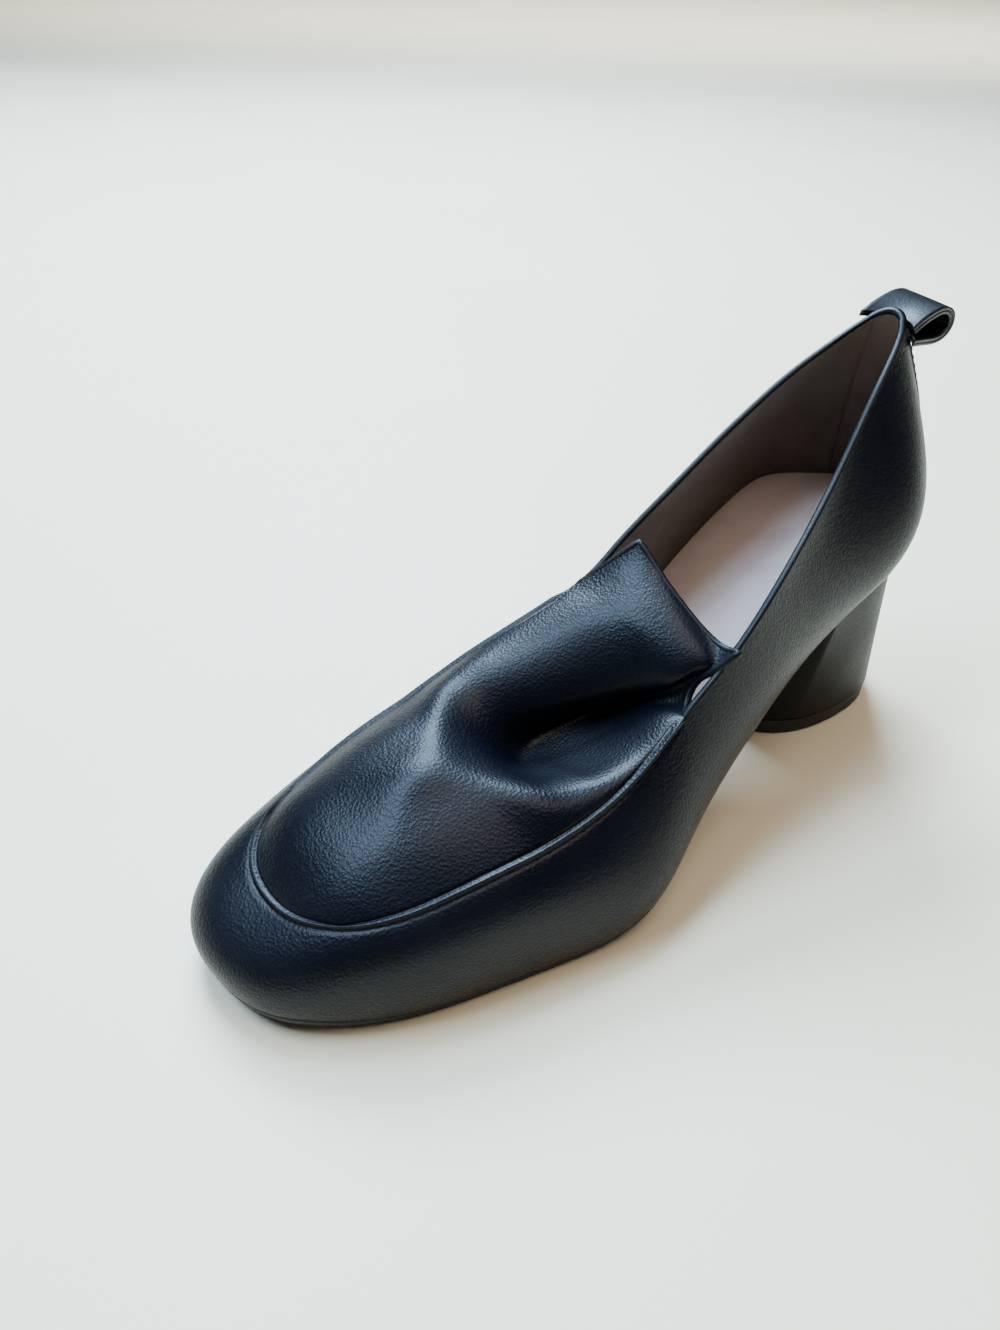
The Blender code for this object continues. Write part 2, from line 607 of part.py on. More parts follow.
def heel_top_ring():
    """Top outline: the feather line set in round the back, then across the breast."""
    half = HEEL_COLUMNS // 2
    breast = heel_top_back() + HEEL_TOP_LENGTH
    ring = np.zeros((HEEL_COLUMNS, 3))
    for side in (1, -1):
        turns = side * np.linspace(0.0, 0.25, 200)
        foot = wall_lines(turns)[0]
        out = outward(turns)
        depth = np.clip(foot[:, 0] / breast, 0, 1)[:, None]
        line = foot - out * (HEEL_BACK_INSET + (HEEL_SIDE_INSET - HEEL_BACK_INSET) * depth)
        line = line[line[:, 0] < breast - BREAST_ROUNDING]
        reach = np.concatenate([[0.0], np.cumsum(np.linalg.norm(np.diff(line[:, :2], axis=0), axis=1))])
        corner = line[-1]
        for k in range(half + 1):
            index = side * k % HEEL_COLUMNS
            if k <= BREAST_COLUMN:
                at = reach[-1] * k / BREAST_COLUMN
                ring[index, :2] = [np.interp(at, reach, line[:, 0]), np.interp(at, reach, line[:, 1])]
            else:
                across = 1 - (k - BREAST_COLUMN) / (half - BREAST_COLUMN)
                round_off = BREAST_ROUNDING * (1 - across ** 6)
                ring[index, :2] = [corner[0] + round_off, corner[1] * across]
    return ring


def heel_base_ring(inset=0.0):
    """Base outline: a rounded oval."""
    back = heel_top_back() - HEEL_KICK
    angle = 2 * math.pi * np.arange(HEEL_COLUMNS) / HEEL_COLUMNS
    forward, side = -np.cos(angle), np.sin(angle)
    share = np.where(forward > 0, 1 - HEEL_BASE_WIDEST, HEEL_BASE_WIDEST)
    reach = HEEL_BASE_LENGTH * share - inset
    power = 2 / HEEL_SQUARENESS
    along = back + HEEL_BASE_LENGTH * HEEL_BASE_WIDEST + reach * np.sign(forward) * np.abs(forward) ** power
    across = (HEEL_BASE_WIDTH / 2 - inset) * np.sign(side) * np.abs(side) ** power
    return np.stack([along, across, np.zeros(HEEL_COLUMNS)], 1)


def heel_seat(along):
    return sole_bottom(along) - CLEARANCE


def make_heel(materials, collection):
    base, top = heel_base_ring(), heel_top_ring()
    loops = []
    for height in np.linspace(0.0, 1.0, HEEL_STEPS + 1):
        ring = base + (top - base) * height
        ring[:, 2] = LIFT_THICKNESS + (heel_seat(ring[:, 0]) - LIFT_THICKNESS) * height
        loops.append(ring)
    mesh = bmesh.new()
    add_block(mesh, loops, None, heel_seat)
    return add_object(mesh, "heel", materials, collection)


def make_top_lift(materials, collection):
    loops = []
    for rise, inset in ((0.0, LIFT_INSET + LIFT_ROUNDING), (LIFT_ROUNDING, LIFT_INSET),
                        (LIFT_THICKNESS - CLEARANCE, LIFT_INSET)):
        ring = heel_base_ring(inset)
        ring[:, 2] = rise
        loops.append(ring)
    mesh = bmesh.new()
    add_block(mesh, loops)
    return add_object(mesh, "top_lift", materials, collection)


# The pull loop: a strap that leaves the back under the collar's edge, arches out to a fold and
# comes back under itself

LOOP_ROWS = (
    # place,        out,    up: shares of LOOP_REACH and LOOP_HEIGHT from the upper root
    ("upper root",  0.00,   0.00),
    ("rise",        0.18,   0.19),
    ("arch",        0.45,   0.34),
    ("crest",       0.70,   0.33),
    ("over fold",   0.91,   0.13),
    ("fold",        1.00,  -0.19),
    ("under fold",  0.945, -0.49),
    ("return",      0.76,  -0.66),
    ("sag",         0.51,  -0.67),
    ("back",        0.24,  -0.58),
    ("lower root",  0.00,  -0.50),
)


def back_face(rise, across):
    """How far along the shoe the outer face at the back lies, at a rise and a place across."""
    shares = np.linspace(0.5, 1.0, SEAT_STEPS)
    turns = np.linspace(-SEAT_TURN, SEAT_TURN, 3 * SEAT_STEPS // 2 + 1)
    columns = wall_points(turns, shares) + (outward(turns) * STRIP_RISE)[:, None]
    at_rise = np.array([[np.interp(rise, column[:, 2], column[:, 0]),
                         np.interp(rise, column[:, 2], column[:, 1])] for column in columns])
    order = np.argsort(at_rise[:, 1])
    return np.interp(across, at_rise[order, 1], at_rise[order, 0])


def root_seat(run, rise, across):
    """How far along the strap's mean line may start, so that its end face just clears the back."""
    forward, up = unit(np.array([-run[0], run[1]]))
    seats = []
    for side in (-0.5, 0.5):
        ahead, above = side * LOOP_THICKNESS * up, -side * LOOP_THICKNESS * forward
        seats.append(float(back_face(rise + above, across)) - ahead)
    return min(seats) - ROOT_CLEARANCE


def make_pull_loop(materials, collection):
    root_rise = wall_lines([0.0])[1][0, 2] - LOOP_DROP
    table = np.array([row[1:] for row in LOOP_ROWS]) * (LOOP_REACH, LOOP_HEIGHT)
    path = open_curve(np.arange(len(table)), table, np.linspace(0, len(table) - 1, LOOP_STEPS + 1))
    mesh = bmesh.new()
    grid = []
    middle = root_seat(path[1] - path[0], root_rise, 0.0)
    for share in np.linspace(0.5, -0.5, LOOP_COLUMNS + 1):
        across = share * LOOP_WIDTH
        wrapped = middle + LOOP_WRAP * (2 * share) ** 2
        upper_seat = min(wrapped, root_seat(path[1] - path[0], root_rise, across))
        lower_seat = min(wrapped, root_seat(path[-2] - path[-1], root_rise + path[-1, 1], across))
        column = []
        for k, (out, up) in enumerate(path):
            seat = upper_seat if k < LOOP_STEPS / 2 else lower_seat
            near = max(0.0, 1 - out / LOOP_REACH) ** 2
            reach = out * (1 - LOOP_SKEW * 2 * share)
            column.append((middle + (seat - middle) * near - reach, across, root_rise + up))
        grid.append(add_points(mesh, column))
    add_sheet(mesh, grid)
    loop = add_object(mesh, "pull_loop", materials, collection)
    strap = loop.modifiers.new("strap", "SOLIDIFY")
    strap.thickness = LOOP_THICKNESS
    strap.offset = 0.0
    return loop


def main():
    start_clean()
    parts = bpy.data.collections.new("block_heel_pump")
    bpy.context.scene.collection.children.link(parts)
    leather = material("black_leather", (0.012, 0.014, 0.019), 0.42)
    lining = material("lining_leather", (0.33, 0.22, 0.18), 0.60)
    strap = material("loop_leather", (0.014, 0.016, 0.021), 0.45)
    cover = material("heel_cover", (0.012, 0.012, 0.013), 0.50)
    rubber = material("sole_rubber", (0.010, 0.010, 0.011), 0.60)
    lift = material("lift_rubber", (0.012, 0.012, 0.012), 0.65)
    sock = material("insole_leather", (0.60, 0.47, 0.43), 0.55)
    make_upper((leather, lining), parts)
    make_pull_loop((strap,), parts)
    make_outsole((rubber,), parts)
    make_insole((sock,), parts)
    make_heel((cover,), parts)
    make_top_lift((lift,), parts)


main()
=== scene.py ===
# Block heel pump, left shoe: leathers, seams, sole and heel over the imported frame.
# Lengths are in metres. A place on the last is (along, across, rise): along from the back of the shoe
# to the toe, across from the middle to the outer side, rise above the floor.
import math
import bpy
import numpy as np
from mathutils import Matrix, Vector


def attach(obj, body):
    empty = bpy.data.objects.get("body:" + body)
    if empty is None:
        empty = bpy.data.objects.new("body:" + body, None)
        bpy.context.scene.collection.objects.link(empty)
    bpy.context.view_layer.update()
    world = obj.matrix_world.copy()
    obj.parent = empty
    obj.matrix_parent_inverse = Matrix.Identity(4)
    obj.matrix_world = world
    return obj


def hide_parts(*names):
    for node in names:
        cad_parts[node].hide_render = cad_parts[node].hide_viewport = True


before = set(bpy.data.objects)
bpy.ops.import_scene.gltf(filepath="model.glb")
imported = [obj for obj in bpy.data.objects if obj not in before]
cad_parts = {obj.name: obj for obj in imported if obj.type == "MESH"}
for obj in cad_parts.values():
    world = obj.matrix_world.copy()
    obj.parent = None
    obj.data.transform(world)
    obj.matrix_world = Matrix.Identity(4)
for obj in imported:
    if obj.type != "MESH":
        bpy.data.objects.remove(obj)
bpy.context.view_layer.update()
print("frame loaded:", len(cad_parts), "nodes")

# The last that every piece is built on
last = {
    "shoeLength": 0.2373,       # heel cup to toe
    "ballWidth": 0.087,
    "heelHeight": 0.0602,
    "toeSpring": 0.0048,
    "collarHeight": 0.0615,     # collar over the seat, at the back
    "apronHeight": 0.0327,      # apron seam over the feather line, at the ball
    "tongueLength": 0.0245,
    "apronCrown": 0.0095,       # dome over a line from seam to seam
    "foldDepth": 0.0120,        # collapsed throat under the same line
    "wall": 0.0018,             # leather and lining together
    "soleThickness": 0.0038,
    "insoleThickness": 0.0050,
    "clearance": 0.0003,
    "footPull": 0.36,           # how stiffly the wall leaves its foot and meets its rim
    "rimPull": 0.38,
    "tonguePace": 0.22,
    "outerThroat": 6,           # rows of wallRows where the apron seam ends
    "innerThroat": 19,
    "outerCorner": 10.5,        # places between rows where the apron's sides meet its front
    "innerCorner": 14.5,
}

# along, heel lift, toe spring
treadRows = (
    (-0.050, 1.006, 0.00), (0.016, 0.995, 0.00), (0.050, 0.976, 0.00), (0.111, 0.940, 0.00),
    (0.181, 0.843, 0.00), (0.280, 0.677, 0.00), (0.386, 0.473, 0.00), (0.492, 0.255, 0.00),
    (0.586, 0.088, 0.00), (0.640, 0.026, 0.00), (0.690, 0.000, 0.00), (0.810, 0.000, 0.00),
    (0.888, 0.000, 0.24), (0.962, 0.000, 0.72), (1.000, 0.000, 1.00), (1.050, 0.000, 1.40),
)

# along, sole, insole
layerRows = (
    (-0.050, 0.60, 1.40), (0.100, 0.60, 1.40), (0.400, 0.75, 1.00), (0.600, 1.00, 0.80),
    (1.050, 1.00, 0.60),
)

# once round from the back by the outer side: foot along and across, rim along and across,
# share of the collar and of the seam height, then flare and turn in degrees
wallRows = (
    (0.0148, 0.000, 0.0600, 0.000, 1.000, 0.000, 26, 29),
    (0.0476, 0.202, 0.0780, 0.082, 0.960, 0.000, 31, 24),
    (0.1080, 0.336, 0.1420, 0.147, 0.818, 0.000, 22, 30),
    (0.1810, 0.350, 0.2330, 0.226, 0.615, 0.000, 12, 17),
    (0.2800, 0.357, 0.3300, 0.303, 0.540, 0.000, 14, 13),
    (0.3860, 0.402, 0.4190, 0.348, 0.509, 0.000, 13, 16),
    (0.4920, 0.472, 0.5030, 0.366, 0.270, 0.508, 12, 28),
    (0.5860, 0.548, 0.6010, 0.392, 0.000, 0.990, 10, 44),
    (0.6870, 0.500, 0.7120, 0.368, 0.000, 0.975, 10, 55),
    (0.7990, 0.418, 0.8020, 0.315, 0.000, 0.884, 11, 61),
    (0.8880, 0.329, 0.8700, 0.238, 0.000, 0.749, 12, 65),
    (0.9620, 0.193, 0.9140, 0.112, 0.000, 0.602, 13, 68),
    (0.9945, 0.037, 0.9280, -0.018, 0.000, 0.515, 14, 70),
    (0.9990, -0.152, 0.9240, -0.142, 0.000, 0.540, 14, 70),
    (0.9670, -0.308, 0.8985, -0.236, 0.000, 0.645, 11, 66),
    (0.8930, -0.387, 0.8560, -0.286, 0.000, 0.800, 8, 60),
    (0.8010, -0.426, 0.7920, -0.321, 0.000, 0.940, 6, 51),
    (0.6950, -0.405, 0.7070, -0.319, 0.000, 1.110, 7, 40),
    (0.5900, -0.336, 0.6055, -0.275, 0.000, 1.275, 10, 30),
    (0.4890, -0.270, 0.4900, -0.184, 0.364, 0.685, 14, 24),
    (0.3835, -0.262, 0.4176, -0.182, 0.667, 0.000, 15, 20),
    (0.2823, -0.294, 0.3375, -0.177, 0.662, 0.000, 16, 20),
    (0.1900, -0.313, 0.2440, -0.168, 0.722, 0.000, 16, 22),
    (0.1050, -0.295, 0.1420, -0.137, 0.824, 0.000, 18, 25),
    (0.0503, -0.176, 0.0780, -0.080, 0.942, 0.000, 23, 25),
)

# station, then across of seven lines: edge, floor, valley, limb, shoulder, roof, slope
apronAcross = (
    (0.000,  0.00,  0.12,  0.28,  0.43,  0.57,  0.72,  0.88),
    (0.111,  0.00,  0.13,  0.29,  0.43,  0.57,  0.71,  0.87),
    (0.222,  0.00,  0.13,  0.29,  0.43,  0.57,  0.71,  0.87),
    (0.333,  0.00,  0.13,  0.29,  0.43,  0.57,  0.71,  0.87),
    (0.550,  0.00,  0.13,  0.29,  0.43,  0.57,  0.71,  0.87),
    (0.644,  0.00,  0.05,  0.16,  0.43,  0.65,  0.83,  0.96),
    (0.722,  0.00,  0.05,  0.20,  0.50,  0.60,  0.84,  0.94),
    (0.778,  0.00,  0.06,  0.22,  0.59,  0.53,  0.79,  0.95),
    (0.889,  0.00,  0.07,  0.27,  0.57,  0.38,  0.73,  0.94),
    (1.000,  0.00,  0.10,  0.28,  0.42,  0.18,  0.70,  0.92),
    (1.250,  0.06,  0.10,  0.20,  0.22,  0.10,  0.64,  0.92),
    (1.500,  0.10,  0.11,  0.13,  0.12,  0.13,  0.62,  0.92),
    (1.750,  0.05,  0.06,  0.07,  0.08,  0.16,  0.62,  0.94),
    (2.000,  0.00,  0.03,  0.07,  0.15,  0.34,  0.69,  0.92),
)
# station, then rise of the same lines over the chord from edge to edge
apronRise = (
    (0.000,  0.00,  0.00,  0.00,  0.00,  0.00,  0.00,  0.00),
    (0.111,  0.00,  0.30,  0.48,  0.54,  0.54,  0.47,  0.30),
    (0.222,  0.00,  0.46,  0.76,  0.85,  0.85,  0.75,  0.45),
    (0.333,  0.00,  0.54,  0.92,  1.03,  1.03,  0.90,  0.53),
    (0.550,  0.00,  0.58,  0.98,  1.04,  1.10,  1.01,  0.61),
    (0.644,  0.00,  0.37,  0.97,  0.02,  0.52,  1.11,  0.19),
    (0.722,  0.00,  0.45,  0.37, -1.12,  0.20,  0.84,  0.41),
    (0.778,  0.00,  0.48, -0.38, -1.34, -0.08,  0.80,  0.35),
    (0.889,  0.00,  0.14, -0.98, -1.34, -0.40,  0.70,  0.25),
    (1.000,  0.00, -0.15, -1.20, -1.20, -0.22,  0.74,  0.20),
    (1.250, -0.40, -0.56, -0.70, -0.45,  0.10,  0.68,  0.18),
    (1.500, -0.38, -0.40, -0.34, -0.14,  0.20,  0.44,  0.14),
    (1.750, -0.21, -0.24, -0.25, -0.20, -0.02,  0.14,  0.04),
    (2.000,  0.00, -0.10, -0.22, -0.31, -0.29, -0.18, -0.03),
)
# the tongue's outer and inner corners, in tongue lengths from the throat
tongueCorners = ((-0.706, -0.016, 0.522), (-0.665, 0.359, 0.543))
acrossEnd = 5.0     # last place across the apron


def closedCurve(rows, turns):
    # smooth closed curve through equally spaced rows, turns from 0 to 1
    count = len(rows)
    eye = np.eye(count)
    system = 4 * eye + np.roll(eye, 1, axis=1) + np.roll(eye, -1, axis=1)
    bend = np.linalg.solve(system, 6 * (np.roll(rows, -1, 0) - 2 * rows + np.roll(rows, 1, 0)))
    place = (np.asarray(turns, float) % 1.0) * count
    low = np.floor(place).astype(int)
    after = (place - low)[:, None]
    before = 1 - after
    low %= count
    high = (low + 1) % count
    straight = before * rows[low] + after * rows[high]
    return straight + ((before ** 3 - before) * bend[low] + (after ** 3 - after) * bend[high]) / 6


def openCurve(knots, rows, places):
    # natural cubic curve through rows at knots
    knots, rows = np.asarray(knots, float), np.asarray(rows, float)
    gap = np.diff(knots)
    count = len(knots)
    system, load = np.eye(count), np.zeros_like(rows)
    slope = np.diff(rows, axis=0) / gap[:, None]
    for k in range(1, count - 1):
        system[k, k - 1:k + 2] = gap[k - 1], 2 * (gap[k - 1] + gap[k]), gap[k]
        load[k] = 6 * (slope[k] - slope[k - 1])
    bend = np.linalg.solve(system, load)
    places = np.asarray(places, float)
    low = np.clip(np.searchsorted(knots, places, side="right") - 1, 0, count - 2)
    width = gap[low][:, None]
    after = (places - knots[low])[:, None] / width
    before = 1 - after
    straight = before * rows[low] + after * rows[low + 1]
    curved = (before ** 3 - before) * bend[low] + (after ** 3 - after) * bend[low + 1]
    return straight + curved * width ** 2 / 6


def levelCurve(knots, values, places):
    # curve that never passes its rows, so flats stay flat
    knots, values = np.asarray(knots, float), np.asarray(values, float)
    gap = np.diff(knots)
    slope = np.diff(values) / gap
    lean = np.zeros(len(knots))
    for k in range(1, len(knots) - 1):
        if slope[k - 1] * slope[k] > 0:
            near, far = 2 * gap[k] + gap[k - 1], gap[k] + 2 * gap[k - 1]
            lean[k] = (near + far) / (near / slope[k - 1] + far / slope[k])
    lean[0], lean[-1] = slope[0], slope[-1]
    places = np.asarray(places, float)
    low = np.clip(np.searchsorted(knots, places, side="right") - 1, 0, len(knots) - 2)
    width = gap[low]
    q = (places - knots[low]) / width
    return ((2 * q ** 3 - 3 * q ** 2 + 1) * values[low] + (q ** 3 - 2 * q ** 2 + q) * width * lean[low]
            + (3 * q ** 2 - 2 * q ** 3) * values[low + 1] + (q ** 3 - q ** 2) * width * lean[low + 1])


def softCurve(controls, places):
    # curve drawn towards its controls, from the first to the last
    controls = np.asarray(controls, float)
    end = len(controls) - 3
    knots = np.concatenate([[0.0] * 3, np.arange(end + 1), [end] * 3])
    drawn = []
    for place in places:
        span = min(int(place), end - 1) + 3
        near = [controls[span - 3 + k] for k in range(4)]
        for level in range(1, 4):
            for k in range(3, level - 1, -1):
                low, high = knots[span - 3 + k], knots[span + 1 + k - level]
                share = (place - low) / (high - low)
                near[k] = near[k - 1] * (1 - share) + near[k] * share
        drawn.append(near[3])
    return np.array(drawn)


def unit(vectors):
    return vectors / np.maximum(np.linalg.norm(vectors, axis=-1, keepdims=True), 1e-12)


def smooth(value):
    value = np.clip(value, 0.0, 1.0)
    return value * value * (3 - 2 * value)


def tread(along):
    share = np.asarray(along, float) / last["shoeLength"]
    knots = [row[0] for row in treadRows]
    heel = levelCurve(knots, [row[1] for row in treadRows], share)
    spring = levelCurve(knots, [row[2] for row in treadRows], share)
    seat = last["soleThickness"] + last["clearance"]
    return seat + heel * last["heelHeight"] + spring * last["toeSpring"]


def layer(along, column, thickness):
    share = np.asarray(along, float) / last["shoeLength"]
    return levelCurve([row[0] for row in layerRows], [row[column] for row in layerRows], share) * thickness


def soleTop(along):
    return tread(along) - last["clearance"]


def soleBottom(along):
    return soleTop(along) - layer(along, 1, last["soleThickness"])


def insoleTop(along):
    return tread(along) + layer(along, 2, last["insoleThickness"])


def wallLines(turns):
    # foot and rim of the wall, and its two angles
    row = closedCurve(np.array(wallRows, float), turns)
    footRise = tread(row[:, 0] * last["shoeLength"])
    rimRise = footRise + row[:, 4] * last["collarHeight"] + row[:, 5] * last["apronHeight"]
    foot = np.stack([row[:, 0] * last["shoeLength"], row[:, 1] * last["ballWidth"], footRise], 1)
    rim = np.stack([row[:, 2] * last["shoeLength"], row[:, 3] * last["ballWidth"], rimRise], 1)
    return foot, rim, np.radians(row[:, 6]), np.radians(row[:, 7])


def outward(turns):
    ahead, behind = wallLines(np.asarray(turns) + 0.002), wallLines(np.asarray(turns) - 0.002)
    run = unit((ahead[0] + ahead[1] - behind[0] - behind[1])[:, :2])
    return np.stack([-run[:, 1], run[:, 0], np.zeros(len(run))], 1)


up = np.array([0.0, 0.0, 1.0])


def wallPoints(turns, shares):
    turns = np.asarray(turns, float)
    foot, rim, flare, turn = wallLines(turns)
    out = outward(turns)
    tall = np.linalg.norm(rim - foot, axis=1)[:, None]
    leave = out * np.sin(flare)[:, None] + up * np.cos(flare)[:, None]
    arrive = -out * np.sin(turn)[:, None] + up * np.cos(turn)[:, None]
    first = foot + leave * tall * last["footPull"]
    second = rim - arrive * tall * last["rimPull"]
    q = np.asarray(shares, float)[None, :, None]
    return ((1 - q) ** 3 * foot[:, None] + 3 * q * (1 - q) ** 2 * first[:, None]
            + 3 * q ** 2 * (1 - q) * second[:, None] + q ** 3 * rim[:, None])


def footLoop(count, inset):
    # the feather line once round, set in
    turns = np.arange(count) / count
    foot = wallLines(turns)[0]
    run = unit((wallLines(turns + 0.5 / count)[0] - wallLines(turns - 0.5 / count)[0])[:, :2])
    foot[:, 0] += run[:, 1] * inset
    foot[:, 1] -= run[:, 0] * inset
    return foot


# The heel's plan. The model's Y is 0 at the middle of its base.
heelPlan = {"backInset": 0.0004, "kick": 0.0062, "baseLength": 0.0640}
heelMiddle = (wallRows[0][0] * last["shoeLength"] + heelPlan["backInset"] - heelPlan["kick"]
              + heelPlan["baseLength"] / 2)


def toModel(places):
    places = np.asarray(places, float)
    return np.stack([places[..., 1], heelMiddle - places[..., 0], places[..., 2]], -1)


def addPiece(name, places, faces, materials, replaced=None, faceMaterials=None):
    mesh = bpy.data.meshes.new(name)
    mesh.from_pydata(toModel(places).tolist(), [], [list(map(int, face)) for face in faces])
    for each in materials:
        mesh.materials.append(each)
    if faceMaterials is not None:
        mesh.polygons.foreach_set("material_index", np.asarray(faceMaterials, dtype=np.int32))
    mesh.validate()
    mesh.shade_smooth()
    piece = bpy.data.objects.new(name, mesh)
    bpy.context.scene.collection.objects.link(piece)
    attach(piece, "root")
    if replaced:
        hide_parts(replaced)
    return piece


def sheetFaces(grid):
    # quads between the rows of a grid of indices
    grid = np.asarray(grid)
    quads = np.stack([grid[:-1, :-1], grid[1:, :-1], grid[1:, 1:], grid[:-1, 1:]], -1)
    return quads.reshape(-1, 4)


def gridNormals(grid):
    along = np.gradient(grid, axis=0)
    across = np.gradient(grid, axis=1)
    return unit(np.cross(along, across))


def reachOf(line):
    # length along a line of points up to each of them
    return np.concatenate([[0.0], np.cumsum(np.linalg.norm(np.diff(line, axis=0), axis=1))])


def resample(line, others, spacing):
    # points at an even spacing on a line, with other values that go along
    reach = reachOf(line)
    count = max(2, int(round(reach[-1] / spacing)) + 1)
    at = np.linspace(0.0, reach[-1], count)
    result = []
    for values in [line] + list(others):
        result.append(np.stack([np.interp(at, reach, column) for column in np.asarray(values).T], 1))
    return result


def rollPiece(name, line, side, top, roll, material):
    # a rounded roll along a line: side and top are its two directions at each point
    sides = roll["sides"]
    angle = 2 * math.pi * np.arange(sides) / sides
    power = 2 / roll["squareness"]
    a = np.sign(np.cos(angle)) * np.abs(np.cos(angle)) ** power * roll["width"] / 2
    b = np.sign(np.sin(angle)) * np.abs(np.sin(angle)) ** power * roll["height"] / 2
    reach = reachOf(line)
    near = np.minimum(reach, reach[-1] - reach)
    size = np.sqrt(np.clip(near / roll["taper"], 0.02, 1.0))[:, None, None]
    rings = line[:, None] + size * (a[None, :, None] * side[:, None] + b[None, :, None] * top[:, None])
    count = len(line)
    index = np.arange(count * sides).reshape(count, sides)
    closed = np.concatenate([index, index[:, :1]], 1)
    faces = [list(face) for face in sheetFaces(closed)]
    faces.append(list(index[0][::-1]))
    faces.append(list(index[-1]))
    return addPiece(name, rings.reshape(-1, 3), faces, [material])


def stitchPiece(name, lines, normals, stitch, material):
    # a row of short thread stitches laid along each line
    points, faces = [], []
    sides, rings, step = stitch["sides"], stitch["rings"], stitch["steps"]
    radius, margin = stitch["radius"], stitch["gap"] / 2
    arch = np.sin(np.linspace(0.0, math.pi, rings))
    for line, normal in zip(lines, normals):
        line, normal = resample(line, [normal], stitch["pitch"] / step)
        for start in range(0, len(line) - step, step):
            use = np.linspace(start + step * margin, start + step * (1 - margin), rings)
            whole = np.floor(use).astype(int)
            part = (use - whole)[:, None]
            whole = np.minimum(whole, len(line) - 2)
            centre = line[whole] * (1 - part) + line[whole + 1] * part
            facing = unit(normal[whole])
            run = unit(centre[-1] - centre[0])
            beside = unit(np.cross(facing, run))
            base = len(points)
            for k in range(rings):
                size = radius * (0.45 + 0.55 * arch[k])         # ends taper to under half
                height = radius * 1.1 * arch[k] - radius * 0.6  # and dip into the leather
                middle = centre[k] + facing[k] * height
                for s in range(sides):
                    angle = 2 * math.pi * s / sides
                    ray = beside[k] * math.cos(angle) + facing[k] * math.sin(angle)
                    points.append(middle + size * ray)
            for k in range(rings - 1):
                for s in range(sides):
                    n = (s + 1) % sides
                    a, b = base + k * sides, base + (k + 1) * sides
                    faces.append((a + s, a + n, b + n, b + s))
            faces.append(tuple(base + s for s in range(sides))[::-1])
            faces.append(tuple(base + (rings - 1) * sides + s for s in range(sides)))
    return addPiece(name, np.array(points), faces, [material])


# Finishes. Every one is made of nodes, in object space, so that its grain keeps its size.

class Finish:
    def __init__(self, name, colour, roughness):
        self.made = bpy.data.materials.new(name)
        self.made.use_nodes = True
        self.nodes, self.links = self.made.node_tree.nodes, self.made.node_tree.links
        self.shader = self.nodes["Principled BSDF"]
        self.shader.inputs["Base Color"].default_value = (*colour, 1.0)
        self.shader.inputs["Roughness"].default_value = roughness
        self.made.diffuse_color = (*colour, 1.0)
        self.place = self.nodes.new("ShaderNodeTexCoord").outputs["Object"]

    def add(self, kind, **inputs):
        node = self.nodes.new(kind)
        for key, value in inputs.items():
            socket = node.inputs[key.replace("_", " ")]
            if hasattr(value, "is_output"):
                self.links.new(value, socket)
            else:
                socket.default_value = value
        return node

    def noise(self, size, detail=3.0):
        node = self.add("ShaderNodeTexNoise", Scale=1.0 / size, Detail=detail, Vector=self.place)
        return node.outputs["Fac"]

    def cells(self, size, vector):
        node = self.add("ShaderNodeTexVoronoi", Scale=1.0 / size, Vector=vector)
        return node.outputs["Distance"]

    def math(self, operation, a, b=0.0):
        node = self.nodes.new("ShaderNodeMath")
        node.operation = operation
        for socket, value in zip(node.inputs, (a, b)):
            if hasattr(value, "is_output"):
                self.links.new(value, socket)
            else:
                socket.default_value = value
        return node.outputs[0]

    def spread(self, value, low, high, newLow, newHigh):
        node = self.add("ShaderNodeMapRange", Value=value)
        for key, number in (("From Min", low), ("From Max", high), ("To Min", newLow), ("To Max", newHigh)):
            node.inputs[key].default_value = number
        return node.outputs[0]

    def warp(self, size, amount):
        # the object's own place, shaken a little, so that cells aren't regular
        node = self.add("ShaderNodeTexNoise", Scale=1.0 / size, Detail=2.0, Vector=self.place)
        scaled = self.nodes.new("ShaderNodeVectorMath")
        scaled.operation = "MULTIPLY_ADD"
        self.links.new(node.outputs["Color"], scaled.inputs[0])
        scaled.inputs[1].default_value = (amount, amount, amount)
        self.links.new(self.place, scaled.inputs[2])
        return scaled.outputs[0]

    def colours(self, value, low, high, dark, light):
        factor = self.spread(value, low, high, 0.0, 1.0)
        mix = self.nodes.new("ShaderNodeMix")
        mix.data_type = "RGBA"
        self.links.new(factor, mix.inputs["Factor"])
        mix.inputs["A"].default_value = (*dark, 1.0)
        mix.inputs["B"].default_value = (*light, 1.0)
        self.links.new(mix.outputs["Result"], self.shader.inputs["Base Color"])

    def relief(self, heights):
        # heights: (value, depth in metres) laid over each other
        normal = None
        for value, depth in heights:
            bump = self.add("ShaderNodeBump", Height=value, Distance=depth, Strength=1.0)
            if normal is not None:
                self.links.new(normal, bump.inputs["Normal"])
            normal = bump.outputs["Normal"]
        self.links.new(normal, self.shader.inputs["Normal"])

    def rough(self, value):
        self.links.new(value, self.shader.inputs["Roughness"])

    def set(self, **values):
        for key, value in values.items():
            self.shader.inputs[key.replace("_", " ")].default_value = value
        return self.made


